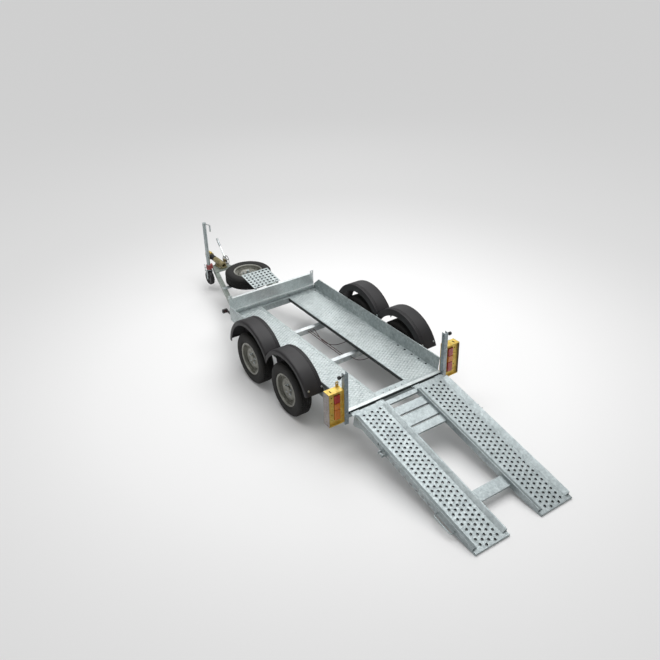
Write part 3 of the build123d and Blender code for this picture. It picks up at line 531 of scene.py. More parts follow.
class Piece:
    """One mesh under construction, in millimetres of its own place."""

    def __init__(self, name: str, place: Optional[Matrix] = None) -> None:
        """Starts an empty piece, placed from the deck's rear edge."""
        self.name = name
        self.place = place or Matrix.Identity(4)
        self.form = bmesh.new()

    def skin(self, loops: Sequence[Sequence[Vector]], caps: bool = True, closed: bool = False) -> None:
        """Joins loops of like points by faces.

        Args:
            loops: closed loops, each of as many points.
            caps: closes the first and last loop with a face.
            closed: joins the last loop to the first.
        """
        rows = [[self.form.verts.new(p) for p in loop] for loop in loops]
        count = len(rows[0])
        pairs = list(zip(rows, rows[1:])) + ([(rows[-1], rows[0])] if closed else [])
        for a, b in pairs:
            for i in range(count):
                j = (i + 1) % count
                self.form.faces.new((a[i], a[j], b[j], b[i]))
        if caps and not closed:
            self.form.faces.new(rows[0][::-1])
            self.form.faces.new(rows[-1])

    def run(self, along: Along, outline: Outline, start: float, end: float) -> None:
        """A closed outline run along one direction."""
        self.skin([[along.at(t, u, v) for u, v in outline] for t in (start, end)])

    def block(self, low: Point, high: Point) -> None:
        """A block between two corners."""
        outline = [(low[0], low[1]), (high[0], low[1]), (high[0], high[1]), (low[0], high[1])]
        self.run(Along.Z, outline, low[2], high[2])

    def rod(
        self,
        along: Along,
        centre: tuple[float, float],
        radius: float,
        start: float,
        end: float,
        sides: int = 28,
    ) -> None:
        """A round bar along one direction, with a small chamfer at its ends."""
        cut = min(1.5, radius * 0.15, abs(end - start) * 0.2)
        steps = ((start, radius - cut), (start + cut, radius), (end - cut, radius), (end, radius - cut))
        self.skin([[along.at(t, u, v) for u, v in ring(centre, r, sides)] for t, r in steps])

    def turned(self, along: Along, profile: Outline, centre: tuple[float, float], sides: int = 72) -> None:
        """A closed (distance, radius) profile turned about a line. A radius of nought closes at a pole."""
        loops = []
        for i in range(sides):
            a = 2 * math.pi * i / sides
            loops.append(
                [along.at(t, centre[0] + r * math.cos(a), centre[1] + r * math.sin(a)) for t, r in profile]
            )
        self.skin(loops, caps=False, closed=True)

    def pipe(self, path: Sequence[Point], radius: float, sides: int = 12) -> None:
        """A round bar that follows points, with flat ends."""
        points = [Vector(p) for p in path]
        loops = []
        side = None
        for i, here in enumerate(points):
            a = here - points[i - 1] if i else points[1] - here
            b = points[i + 1] - here if i + 1 < len(points) else a
            way = (a.normalized() + b.normalized()).normalized()
            side = (side or way.orthogonal()).normalized()
            side = (side - way * side.dot(way)).normalized()
            other = way.cross(side)
            loops.append(
                [
                    here + (side * math.cos(t) + other * math.sin(t)) * radius
                    for t in (2 * math.pi * k / sides for k in range(sides))
                ]
            )
        self.skin(loops)

    def plate(
        self, along: Along, outline: Outline, holes: Sequence[Outline], low: float, high: float
    ) -> None:
        """A flat plate with holes through it.

        Args:
            along: the direction of its thickness.
            outline: its closed edge.
            holes: closed outlines of the holes, none of them touching.
            low: the level of one face.
            high: the level of the other.
        """
        loops = [list(outline)] + [list(h) for h in holes]
        points = [Vector(p) for loop in loops for p in loop]
        edges = []
        start = 0
        for loop in loops:
            edges += [(start + i, start + (i + 1) % len(loop)) for i in range(len(loop))]
            start += len(loop)
        flat, _, faces, *_ = delaunay_2d_cdt(points, edges, [], 1, 1e-5)
        boxes = [
            (min(p[0] for p in h), max(p[0] for p in h), min(p[1] for p in h), max(p[1] for p in h), h)
            for h in holes
        ]
        decks = [[self.form.verts.new(along.at(t, p[0], p[1])) for p in flat] for t in (low, high)]
        for face in faces:
            x = sum(flat[i][0] for i in face) / len(face)
            y = sum(flat[i][1] for i in face) / len(face)
            if any(a < x < b and c < y < d and inside((x, y), h) for a, b, c, d, h in boxes):
                continue
            for deck in decks:
                self.form.faces.new([deck[i] for i in face])
        lower = {v: i for i, v in enumerate(decks[0])}
        open_edges = [e for e in self.form.edges if len(e.link_faces) == 1]
        for edge in [e for e in open_edges if e.verts[0] in lower and e.verts[1] in lower]:
            i, j = lower[edge.verts[0]], lower[edge.verts[1]]
            self.form.faces.new((decks[0][i], decks[0][j], decks[1][j], decks[1][i]))

    def reach(self, *pieces: "Piece") -> None:
        """Takes in the faces of other pieces, which keep their own place."""
        for piece in pieces:
            mesh = bpy.data.meshes.new("spare")
            piece.form.to_mesh(mesh)
            mesh.transform(self.place.inverted() @ piece.place)
            self.form.from_mesh(mesh)
            bpy.data.meshes.remove(mesh)
            piece.form.free()

    def mesh(self, mirrored: bool = False) -> bpy.types.Mesh:
        """The piece's mesh in the row frame, with its faces pointing outwards."""
        bmesh.ops.remove_doubles(self.form, verts=self.form.verts, dist=0.01)
        made = bpy.data.meshes.new(self.name)
        work = self.form.copy()
        work.transform(TO_ROW @ (MIRROR if mirrored else Matrix.Identity(4)) @ self.place)
        bmesh.ops.recalc_face_normals(work, faces=work.faces)
        work.to_mesh(made)
        work.free()
        return made


@dataclass(frozen=True)
class Dressing:
    """What a finished piece shows and what it goes with."""

    material: bpy.types.Material
    slot: Slot
    body: str = "root"
    replaces: tuple[str, ...] = ()
    bevel_mm: float = 0.0
    sharp: float = 35.0


def settle(name: str, mesh: bpy.types.Mesh, dressing: Dressing) -> bpy.types.Object:
    """Makes a finished piece of a mesh that is already in place.

    Args:
        name: the piece's name.
        mesh: its mesh in the row frame.
        dressing: its finish, slot, body and the CAD nodes it stands for.

    Returns:
        The object.
    """
    mesh.materials.clear()
    mesh.materials.append(dressing.material)
    mesh.polygons.foreach_set("material_index", [0] * len(mesh.polygons))
    mesh.shade_smooth()
    mesh.set_sharp_from_angle(angle=math.radians(dressing.sharp))
    obj = bpy.data.objects.new(name, mesh)
    bpy.context.scene.collection.objects.link(obj)
    if dressing.bevel_mm:
        bevel = obj.modifiers.new("edges", "BEVEL")
        bevel.width = dressing.bevel_mm * MM
        bevel.segments = 2
        bevel.limit_method = "ANGLE"
        bevel.angle_limit = math.radians(40)
        bevel.harden_normals = True
    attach(obj, dressing.body)
    if dressing.replaces:
        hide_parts(*dressing.replaces)
    LOG.info("%s: %d faces on %s", name, len(mesh.polygons), dressing.body)
    return obj


def both_sides(piece: Piece, dressing: Dressing, bodies: tuple[str, str] = ("", "")) -> None:
    """Settles a left-hand piece and its right-hand twin.

    Args:
        piece: the left-hand piece; its name and replaced nodes end in _left.
        dressing: its dressing.
        bodies: the two bodies, where they aren't the dressing's own.
    """
    for side, mirrored, body in (("left", False, bodies[0]), ("right", True, bodies[1])):
        nodes = tuple(n.replace("left", side) for n in dressing.replaces)
        if mirrored:
            nodes = tuple(n for n in nodes if n not in dressing.replaces)
        worn = Dressing(
            dressing.material,
            dressing.slot,
            body or dressing.body,
            nodes,
            dressing.bevel_mm,
            dressing.sharp,
        )
        settle(piece.name + "_" + side, piece.mesh(mirrored), worn)


# Geometry Nodes


class Grower:
    """A Geometry Nodes tree with named inputs, run on a carrier mesh of points."""

    def __init__(self, name: str, inputs: dict[str, Any]) -> None:
        """Starts a tree with a geometry input and these named sizes.

        Args:
            name: the tree's name.
            inputs: each input's name and its usual value, whose type sets the socket's.
        """
        self.tree = bpy.data.node_groups.new(name, "GeometryNodeTree")
        face = self.tree.interface
        face.new_socket("Geometry", in_out="INPUT", socket_type="NodeSocketGeometry")
        for key, value in inputs.items():
            kind = "NodeSocketInt" if isinstance(value, int) else "NodeSocketFloat"
            face.new_socket(key, in_out="INPUT", socket_type=kind).default_value = value
        face.new_socket("Finish", in_out="INPUT", socket_type="NodeSocketMaterial")
        face.new_socket("Geometry", in_out="OUTPUT", socket_type="NodeSocketGeometry")
        self.start = add(self.tree, "NodeGroupInput")
        self.at = self.start.outputs

    def close(self, shape: bpy.types.Node) -> None:
        """Ends the tree: real faces with the finish on them."""
        real = add(self.tree, "GeometryNodeRealizeInstances", {0: shape})
        dyed = add(self.tree, "GeometryNodeSetMaterial", {"Geometry": real, "Material": self.at["Finish"]})
        add(self.tree, "NodeGroupOutput", {0: dyed})

    def grow(
        self,
        name: str,
        points: Sequence[Point],
        aims: Sequence[Point],
        material: bpy.types.Material,
        **sizes: float,
    ) -> bpy.types.Mesh:
        """Runs the tree on points and returns its plain mesh, still in millimetres.

        Args:
            name: the mesh's name.
            points: where each copy stands.
            aims: which way each copy faces.
            material: its finish.
            sizes: values of the named inputs, with underscores for spaces.

        Returns:
            The mesh.
        """
        carrier = bpy.data.meshes.new(name)
        carrier.from_pydata([tuple(p) for p in points], [], [])
        aim = carrier.attributes.new("aim", "FLOAT_VECTOR", "POINT")
        aim.data.foreach_set("vector", [c for a in aims for c in a])
        obj = bpy.data.objects.new(name, carrier)
        bpy.context.scene.collection.objects.link(obj)
        modifier = obj.modifiers.new("grow", "NODES")
        modifier.node_group = self.tree
        wanted = {key.replace("_", " "): value for key, value in sizes.items()} | {"Finish": material}
        for item in self.tree.interface.items_tree:
            if item.in_out == "INPUT" and item.name in wanted:
                modifier[item.identifier] = wanted[item.name]
        graph = bpy.context.evaluated_depsgraph_get()
        mesh = bpy.data.meshes.new_from_object(obj.evaluated_get(graph))
        obj.modifiers.remove(modifier)
        bpy.data.objects.remove(obj)
        return mesh


class Growers:
    """The trailer's Geometry Nodes trees."""

    def __init__(self) -> None:
        """Builds each tree once."""
        self.bolts = self.bolt_tree()
        self.collars = self.collar_tree()
        self.lozenges = self.lozenge_tree()
        self.treads = self.tread_tree()

    @staticmethod
    def faced(g: Grower, shape: bpy.types.Node) -> bpy.types.Node:
        """Copies of a shape on the carrier's points, each turned to face its aim."""
        aim = add(g.tree, "GeometryNodeInputNamedAttribute", {"Name": "aim"}, data_type="FLOAT_VECTOR")
        turn = add(g.tree, "FunctionNodeAlignRotationToVector", {"Vector": aim}, axis="Z")
        placed = add(
            g.tree,
            "GeometryNodeInstanceOnPoints",
            {"Points": g.at["Geometry"], "Instance": shape, "Rotation": turn},
        )
        return placed

    def bolt_tree(self) -> Grower:
        """Hexagon heads on round washers, with a short end of thread."""
        g = Grower(
            "hexagon_bolts",
            {"Head Radius": 9.0, "Head Height": 7.0, "Washer Radius": 12.0, "Thread Length": 5.0},
        )
        parts = []
        for sides, radius, height, low in (
            (16, g.at["Washer Radius"], 2.5, 0.0),
            (6, g.at["Head Radius"], g.at["Head Height"], 2.0),
            (10, ("MULTIPLY", g.at["Head Radius"], 0.5), g.at["Thread Length"], 7.0),
        ):
            rod = add(
                g.tree, "GeometryNodeMeshCylinder", {"Vertices": sides, "Radius": radius, "Depth": height}
            )
            shift = add(g.tree, "ShaderNodeCombineXYZ", {"Z": ("ADD", ("MULTIPLY", height, 0.5), low)})
            parts.append(add(g.tree, "GeometryNodeTransform", {"Geometry": rod, "Translation": shift}))
        whole = add(g.tree, "GeometryNodeJoinGeometry")
        for part in parts:
            g.tree.links.new(part.outputs[0], whole.inputs[0])
        g.close(self.faced(g, whole))
        return g

    def collar_tree(self) -> Grower:
        """Rounded collars pressed up round holes."""
        g = Grower(
            "pressed_collars", {"Hole Radius": 12.0, "Collar Width": 5.0, "Collar Height": 3.0, "Sides": 14}
        )
        path = add(g.tree, "GeometryNodeCurvePrimitiveCircle", {"Resolution": g.at["Sides"], "Radius": 1.0})
        half = ("MULTIPLY", g.at["Collar Width"], 0.5)
        wide = ("ADD", g.at["Hole Radius"], half)
        big = add(g.tree, "ShaderNodeCombineXYZ", {"X": wide, "Y": wide, "Z": 1.0})
        grown = add(g.tree, "GeometryNodeTransform", {"Geometry": path, "Scale": big})
        section = add(g.tree, "GeometryNodeCurvePrimitiveCircle", {"Resolution": 6, "Radius": 1.0})
        flat = add(g.tree, "ShaderNodeCombineXYZ", {"X": half, "Y": g.at["Collar Height"], "Z": 1.0})
        pressed = add(g.tree, "GeometryNodeTransform", {"Geometry": section, "Scale": flat})
        rolled = add(g.tree, "GeometryNodeCurveToMesh", {"Curve": grown, "Profile Curve": pressed})
        g.close(self.faced(g, rolled))
        return g

    def lozenge_tree(self) -> Grower:
        """Long pressed lozenges of tread plate, every other one leaning the other way."""
        g = Grower("pressed_lozenges", {"Length": 34.0, "Width": 10.0, "Height": 1.8, "Turn": 0.4})
        dome = add(g.tree, "GeometryNodeMeshUVSphere", {"Segments": 8, "Rings": 5, "Radius": 0.5})
        size = {"X": g.at["Length"], "Y": g.at["Width"], "Z": ("MULTIPLY", g.at["Height"], 2.0)}
        scale = add(g.tree, "ShaderNodeCombineXYZ", size)
        pressed = add(g.tree, "GeometryNodeTransform", {"Geometry": dome, "Scale": scale})
        odd = ("MODULO", add(g.tree, "GeometryNodeInputIndex"), 2.0)
        sign = add(g.tree, "ShaderNodeMapRange", {"Value": odd, "To Min": -1.0, "To Max": 1.0})
        euler = add(g.tree, "ShaderNodeCombineXYZ", {"Z": ("MULTIPLY", sign, g.at["Turn"])})
        placed = add(
            g.tree,
            "GeometryNodeInstanceOnPoints",
            {"Points": g.at["Geometry"], "Instance": pressed, "Rotation": euler},
        )
        g.close(placed)
        return g

    def tread_tree(self) -> Grower:
        """Rows of rubber blocks round a tyre, whose axle runs along Y through the origin."""
        g = Grower(
            "tread_blocks",
            {
                "Count": 60,
                "Rows": 5,
                "Radius": 297.0,
                "Row Pitch": 24.0,
                "Block Length": 25.0,
                "Block Width": 18.0,
                "Block Height": 6.0,
            },
        )
        count, rows, radius = g.at["Count"], g.at["Rows"], g.at["Radius"]
        points = add(g.tree, "GeometryNodePoints", {"Count": ("MULTIPLY", count, rows)})
        index = add(g.tree, "GeometryNodeInputIndex")
        row = ("FLOOR", ("DIVIDE", index, count))
        middle = ("MULTIPLY", ("SUBTRACT", rows, 1.0), 0.5)
        across = ("MULTIPLY", ("SUBTRACT", row, middle), g.at["Row Pitch"])
        stagger = ("MULTIPLY", row, 0.37)
        angle = ("MULTIPLY", ("DIVIDE", ("ADD", index, stagger), count), 2 * math.pi)
        x, z = ("MULTIPLY", ("SINE", angle), radius), ("MULTIPLY", ("COSINE", angle), radius)
        spot = add(g.tree, "ShaderNodeCombineXYZ", {"X": x, "Y": across, "Z": z})
        moved = add(g.tree, "GeometryNodeSetPosition", {"Geometry": points, "Position": spot})
        size = add(
            g.tree,
            "ShaderNodeCombineXYZ",
            {"X": g.at["Block Length"], "Y": g.at["Block Width"], "Z": g.at["Block Height"]},
        )
        block = add(g.tree, "GeometryNodeMeshCube", {"Size": size})
        turn = add(g.tree, "ShaderNodeCombineXYZ", {"Y": angle})
        placed = add(
            g.tree, "GeometryNodeInstanceOnPoints", {"Points": moved, "Instance": block, "Rotation": turn}
        )
        g.close(placed)
        return g


@dataclass
class Shop:
    """What every sub-assembly works with: the finishes and the trees."""

    palette: Palette = field(default_factory=Palette)
    growers: Growers = field(default_factory=Growers)

    def scatter(
        self,
        name: str,
        grower: Grower,
        spots: Sequence[Point],
        dressing: Dressing,
        place: Matrix = Matrix.Identity(4),
        **sizes: float,
    ) -> None:
        """Copies of a small shape that stand upright on spots.

        Args:
            name: the piece's name.
            grower: the tree that makes the shape.
            spots: where each copy stands.
            dressing: the piece's dressing.
            place: the frame of the spots, from the deck's rear edge.
            sizes: values of the tree's named inputs.
        """
        mesh = grower.grow(name, spots, [UP] * len(spots), dressing.material, **sizes)
        mesh.transform(TO_ROW @ place)
        settle(name, mesh, dressing)

    def bolts(
        self,
        name: str,
        spots: Iterable[tuple[Point, Point]],
        body: str = "root",
        size: float = 9.0,
        place: Optional[Matrix] = None,
    ) -> None:
        """Hexagon bolts at spots.

        Args:
            name: the piece's name.
            spots: a point and the way that the head faces, for each bolt.
            body: the body they ride on.
            size: the head's radius over its corners.
            place: the frame of the spots, from the deck's rear edge.
        """
        points, aims = zip(*spots)
        sizes = {
            "Head_Radius": size,
            "Head_Height": size * 0.75,
            "Washer_Radius": size * 1.35,
            "Thread_Length": size * 0.8,
        }
        mesh = self.growers.bolts.grow(name, points, aims, self.palette.bright, **sizes)
        mesh.transform(TO_ROW @ (place or Matrix.Identity(4)))
        settle(name, mesh, Dressing(self.palette.bright, Slot.BRIGHT_ZINC, body))


# Sub-assemblies


def mirrored_spots(spots: Iterable[tuple[Point, Point]]) -> list[tuple[Point, Point]]:
    """Spots of the left side with their twins on the right."""
    left = list(spots)
    return left + [((p[0], -p[1], p[2]), (a[0], -a[1], a[2])) for p, a in left]


@dataclass
class Deck:
    """Two folded tread plates, their raves and the headboard."""

    shop: Shop
    length: float = 2440.0
    half: float = 600.0
    height: float = 414.0
    gap_half: float = 195.0
    margin: float = 38.0
    sheet: float = 3.0
    rave_start: float = 48.0
    rave_height: float = 143.0
    rave_lean: float = 18.0
    rave_lip: float = 14.0
    chamfer: float = 85.0
    rave_foot: float = 339.0
    pitch_along: float = 38.0
    pitch_across: float = 34.0
    lashing_inset: float = 22.0
    lashing_first: float = 217.0
    lashing_pitch: float = 118.0

    def lozenge_places(self) -> list[Point]:
        """Where the tread plate's pressed lozenges stand on the left plate."""
        places = []
        first = self.gap_half + self.margin + 10
        rows = int((self.half - 42 - first) // self.pitch_across) + 1
        count = int((self.length - 70 - 75) // self.pitch_along)
        for i in range(count):
            for j in range(rows):
                places.append(
                    (
                        75 + (i + 0.5 * (j % 2)) * self.pitch_along,
                        first + j * self.pitch_across,
                        self.height - 0.2,
                    )
                )
        return places

    def build(self) -> None:
        """The tread plate's pattern, dark sleeves in the lashing holes as painted shade, the folded edges
        with a bright rear bead as painted highlight, dark strips behind the rear and gap edges as painted
        shade, and the raves.
        """
        p = self.shop.palette
        places = self.lozenge_places()
        places += [(x, -y, z) for x, y, z in places]
        worn = Dressing(p.worn, Slot.GALVANISED, sharp=60)
        lozenges = self.shop.growers.lozenges
        self.shop.scatter(
            "deck_tread_pattern", lozenges, places, worn, Height=2.8, Length=44.0, Turn=math.radians(84)
        )

        # The lashing holes get nearly black sleeves: painted shade inside the holes.
        inset = self.half - self.lashing_inset
        spots = [(x, y, self.height - 16.5) for x in self.lashing_places() for y in (inset, -inset)]
        dark = Dressing(p.shade, Slot.GALVANISED, sharp=80)
        sleeve = {"Hole_Radius": 12.1, "Collar_Width": 1.6, "Collar_Height": 15.5}
        self.shop.scatter("lashing_hole_painted_shade", self.shop.growers.collars, spots, dark, **sleeve)

        edge = Piece("deck_gap_edge")
        top = self.height + 0.6
        spine = [
            (self.gap_half + self.margin, top), (self.gap_half + 1, top), (self.gap_half + 1, top - 44)
        ]
        edge.run(Along.X, walled(rounded(spine, 8), 2.0), 113, self.length - 50)
        both_sides(edge, Dressing(p.deck, Slot.GALVANISED))
        # The rear bead is in the brightest zinc: a painted highlight along the deck's rear edge.
        rear = Piece("deck_rear_edge")
        spine = [(40, top), (-1.0, top), (-1.0, top - 16)]
        rear.run(Along.Y, walled(rounded(spine, 4), 2.0), -self.half, self.half)
        settle("deck_rear_edge", rear.mesh(), Dressing(p.worn, Slot.GALVANISED))
        # A nearly black strip on the deck's rear face: painted shade along the rear edge.
        back = Piece("deck_rear_painted_shade")
        back.run(
            Along.Y,
            [(-3.4, top - 34), (-2.3, top - 34), (-2.3, top - 3), (-3.4, top - 3)],
            -self.half + 4,
            self.half - 4,
        )
        settle("deck_rear_painted_shade", back.mesh(), Dressing(p.shade, Slot.GALVANISED))
        # A nearly black strip inside each gap edge: painted shade on the flange's shadow side.
        inner = Piece("deck_gap_painted_shade")
        y = self.gap_half - 0.3
        inner.run(
            Along.X,
            [(y - 1.2, top - 44), (y, top - 44), (y, top - 7), (y - 1.2, top - 7)],
            114,
            self.length - 52,
        )
        both_sides(inner, Dressing(p.shade, Slot.GALVANISED))
        self.rave()
        self.shop.bolts("deck_bolts", self.bolt_spots(), size=8.5)

    def lashing_places(self) -> list[float]:
        """Distances along the deck of the rear lashing holes."""
        return [self.lashing_first + self.lashing_pitch * i for i in range(5)]

    def rave(self) -> None:
        """The sheet wall along the outer edge, with its rolled lip and cut front corner."""
        rave = Piece("side_rave_folded")
        foot, top = self.half + self.sheet / 2, self.height + self.rave_height - self.sheet / 2
        lean = self.rave_lean
        spine = [(foot, self.rave_foot), (foot, self.height), (foot + lean, top)]
        lip = [
            (foot + lean + self.rave_lip - self.sheet, top),
            (foot + lean + self.rave_lip - self.sheet, top - 12),
        ]
        rave.run(
            Along.X,
            walled(rounded(spine + lip, 4), self.sheet),
            self.rave_start,
            self.length - self.chamfer,
        )
        low = self.height - 2
        share = (top - low) / (top - self.height)
        start = self.length - self.chamfer
        wall = [(foot, self.rave_foot), (foot, self.height), (foot + lean * (1 - share * 0.06), top - 4)]
        rave.skin([
            [Along.X.at(start, u, v) for u, v in walled(wall, self.sheet)],
            [
                Along.X.at(self.length + 2, u, v)
                for u, v in walled(
                    [wall[0], (foot, self.height - 6), (foot + lean * 0.38, top - self.chamfer)], self.sheet
                )
            ],
        ])
        nodes = ("side_rave_left",)
        both_sides(rave, Dressing(self.shop.palette.deck, Slot.GALVANISED, replaces=nodes))

    def bolt_spots(self) -> list[tuple[Point, Point]]:
        """Bolts on the raves and the headboard."""
        wall = self.half + self.sheet
        spots = [((x, wall + 1, 375), (0, 1, 0)) for x in (150, 560, 1990, 2300)]
        spots += [((86, self.half + 9, 470), (0, -1, 0.12)), ((2330, self.half + 9, 470), (0, -1, 0.12))]
        spots += [((self.length - 27, y, self.height), UP) for y in (240, 330, 420, 510)]
        spots += [((self.length + 3, y, z), (1, 0, 0)) for y in (120, 360, 560) for z in (372, 560)]
        return mirrored_spots(spots)


@dataclass
class RearStrip:
    """The strip over the rear cross beam that bridges the gap, and its hinge details."""

    shop: Shop
    hinge_x: float = -30.0
    hinge_z: float = 392.0

    def build(self) -> None:
        """Split pins at the ends of the hinge pins, and countersunk heads on the strip."""
        pins = Piece("hinge_split_pins")
        for y in (193, 584):
            pins.rod(
                Along.Z,
                (self.hinge_x, y - 5 if y < 300 else y + 2),
                2.2,
                self.hinge_z - 16,
                self.hinge_z + 16,
                10,
            )
        both_sides(pins, Dressing(self.shop.palette.bright, Slot.BRIGHT_ZINC))
        spots = [((56, y, 414), UP) for y in (40, 120)]
        self.shop.bolts("rear_strip_bolts", mirrored_spots(spots), size=7.0)


@dataclass
class Wheels:
    """Road wheels and the spare: ribbed tyres on pressed steel rims."""

    shop: Shop
    rear_x: float = 824.0
    pitch: float = 764.0
    axle_z: float = 300.0
    inner: float = 665.0
    width: float = 165.0
    rim_in: float = 11.5
    nuts: int = 5
    nut_circle: float = 56.0
    vents: int = 8

    def tyre_section(self) -> list[tuple[float, float]]:
        """Half the tyre's closed section as (offset, radius), with a fair sidewall and two grooves."""
        near = [
            (40, 172), (19, 170), (17, 176), (16, 186), (12, 190), (9.5, 196), (7.5, 198), (4, 207),
            (1.6, 218), (0.4, 231),
            (0, 240), (0.6, 252), (2.6, 264), (1.8, 266), (4.4, 273), (8.6, 281), (13, 287), (19, 291.5),
            (27, 294.5),
            (44, 296.2), (44.6, 290), (49.4, 290), (50, 296.6), (67.5, 297.2), (68, 290.6), (73, 290.6),
            (73.5, 297.4), (82.5, 297.5),
        ]
        far = [(self.width - y, r) for y, r in near[-2::-1]]
        return near + far

    def tyre(self, place: Matrix, name: str, dressing: Dressing) -> None:
        """One tyre with its tread blocks."""
        tyre = Piece(name, place)
        tyre.turned(Along.Y, self.tyre_section(), (0, 0), 84)
        blocks = self.shop.growers.treads.grow(name + "_tread", [(0, 0, 0)], [UP], dressing.material)
        blocks.transform(Matrix.Translation((0, self.width / 2, 0)))
        tyre.form.from_mesh(blocks)
        settle(name + "_ribbed", tyre.mesh(), dressing)

    def rim_section(self) -> list[tuple[float, float]]:
        """The closed section of the rim's barrel and flanges as (offset, radius)."""
        return [
            (0, 187), (4, 188), (6, 186), (6.5, 178), (10, 171.5), (18, 169.5), (44, 169), (54, 160),
            (88, 160), (98, 169),
            (124, 169.5), (132, 171.5), (135.5, 178), (136, 186), (138, 188), (142, 187), (141.6, 178),
            (138.5, 168),
            (131, 164.5), (112, 164), (110, 156), (101, 155), (90, 155), (56, 155), (46, 164), (18, 164.5),
            (8, 167), (2, 174),
        ]

    def disc_section(self) -> list[tuple[float, float]]:
        """The closed section of the rim's pressed disc as (offset, radius)."""
        return [
            (94, 156), (100, 158), (100, 150), (98, 141), (99.5, 134), (106, 124), (112, 112), (115, 98),
            (114, 86),
            (108, 76), (104, 70), (103.5, 30), (97.5, 30), (97.5, 69), (101, 77), (107, 87), (108.5, 97),
            (106, 109),
            (100, 120), (93.5, 131), (91.5, 141), (92, 150),
        ]

    def vented_disc(self, place: Matrix, name: str) -> Piece:
        """The pressed disc with slots cut near its edge."""
        disc = Piece(name, place)
        disc.turned(Along.Y, self.disc_section(), (0, 0), 96)
        tool = Piece(name + "_tool")
        for i in range(self.vents):
            a = 2 * math.pi * (i + 0.5) / self.vents
            slot = oval((0, 0), 34, 13, 6)
            turned = [
                (
                    131 * math.cos(a) - u * math.sin(a) + v * math.cos(a),
                    131 * math.sin(a) + u * math.cos(a) + v * math.sin(a),
                )
                for u, v in slot
            ]
            tool.run(Along.Y, turned, 80, 125)
        meshes = []
        for form in (disc.form, tool.form):
            bmesh.ops.recalc_face_normals(form, faces=form.faces)
            mesh = bpy.data.meshes.new("spare")
            form.to_mesh(mesh)
            meshes.append(mesh)
        solid, cutter = [bpy.data.objects.new("spare", m) for m in meshes]
        for obj in (solid, cutter):
            bpy.context.scene.collection.objects.link(obj)
        cut = solid.modifiers.new("slots", "BOOLEAN")
        cut.object, cut.operation, cut.solver = cutter, "DIFFERENCE", "EXACT"
        graph = bpy.context.evaluated_depsgraph_get()
        result = bpy.data.meshes.new_from_object(solid.evaluated_get(graph))
        for obj in (solid, cutter):
            bpy.data.objects.remove(obj)
        disc.form.clear()
        disc.form.from_mesh(result)
        return disc

    def rim(self, place: Matrix, name: str, dressing: Dressing, drum: bool) -> None:
        """One rim with its disc, hub, cap and nuts, and the brake drum of a road wheel."""
        here = place @ Matrix.Translation((0, self.rim_in, 0))
        rim = Piece(name, here)
        rim.turned(Along.Y, self.rim_section(), (0, 0), 84)
        hub = Piece(name + "_hub", here)
        if drum:
            hub.turned(
                Along.Y,
                [(-31.5, 18), (-31.5, 117), (-27, 122), (20, 122), (26, 118), (27, 64), (97, 60), (97, 18)],
                (0, 0),
                64,
            )
            hub.turned(
                Along.Y,
                [(96, 18), (96, 42), (110, 42), (113, 38), (119, 35), (122, 20), (124, 0.01), (100, 0.01)],
                (0, 0),
                48,
            )
        rim.reach(self.vented_disc(here, name))
        settle(name + "_pressed", rim.mesh(), dressing)
        if drum:
            settle(
                name + "_hub", hub.mesh(), Dressing(self.shop.palette.rim, Slot.BRIGHT_ZINC, dressing.body)
            )
        else:
            hub.form.free()
        spots = []
        for i in range(self.nuts):
            a = 2 * math.pi * (i + 0.25) / self.nuts
            spots.append(((self.nut_circle * math.cos(a), 103.5, self.nut_circle * math.sin(a)), (0, 1, 0)))
        self.shop.bolts(name + "_nuts", spots, dressing.body, 10.5, here)

    def build(self) -> None:
        """The four road wheels, and the spare lying on its carrier."""
        p = self.shop.palette
        for end, x in (("rear", self.rear_x), ("front", self.rear_x + self.pitch)):
            for side, turn in (("left", 0.0), ("right", math.pi)):
                body = f"wheel_{end}_{side}"
                place = Matrix.Translation((x, 0, self.axle_z)) @ Matrix.Rotation(turn, 4, "Z")
                upright = place @ Matrix.Translation((0, self.inner, 0))
                self.tyre(
                    upright,
                    f"tyre_{end}_{side}",
                    Dressing(p.tyre, Slot.TYRE, body, (f"tyre_{end}_{side}",), sharp=30),
                )
                self.rim(
                    upright,
                    f"rim_{end}_{side}",
                    Dressing(p.rim, Slot.RIM, body, (f"rim_{end}_{side}",), sharp=40),
                    True,
                )
        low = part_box("spare_tyre")[0].z / MM
        lay = Matrix.Translation((3240, -90, low)) @ Matrix.Rotation(math.pi / 2, 4, "X")
        self.tyre(lay, "spare_tyre", Dressing(p.tyre, Slot.TYRE, "root", ("spare_tyre",), sharp=30))
        self.rim(lay, "spare_rim", Dressing(p.rim, Slot.RIM, "root", ("spare_rim",), sharp=40), False)


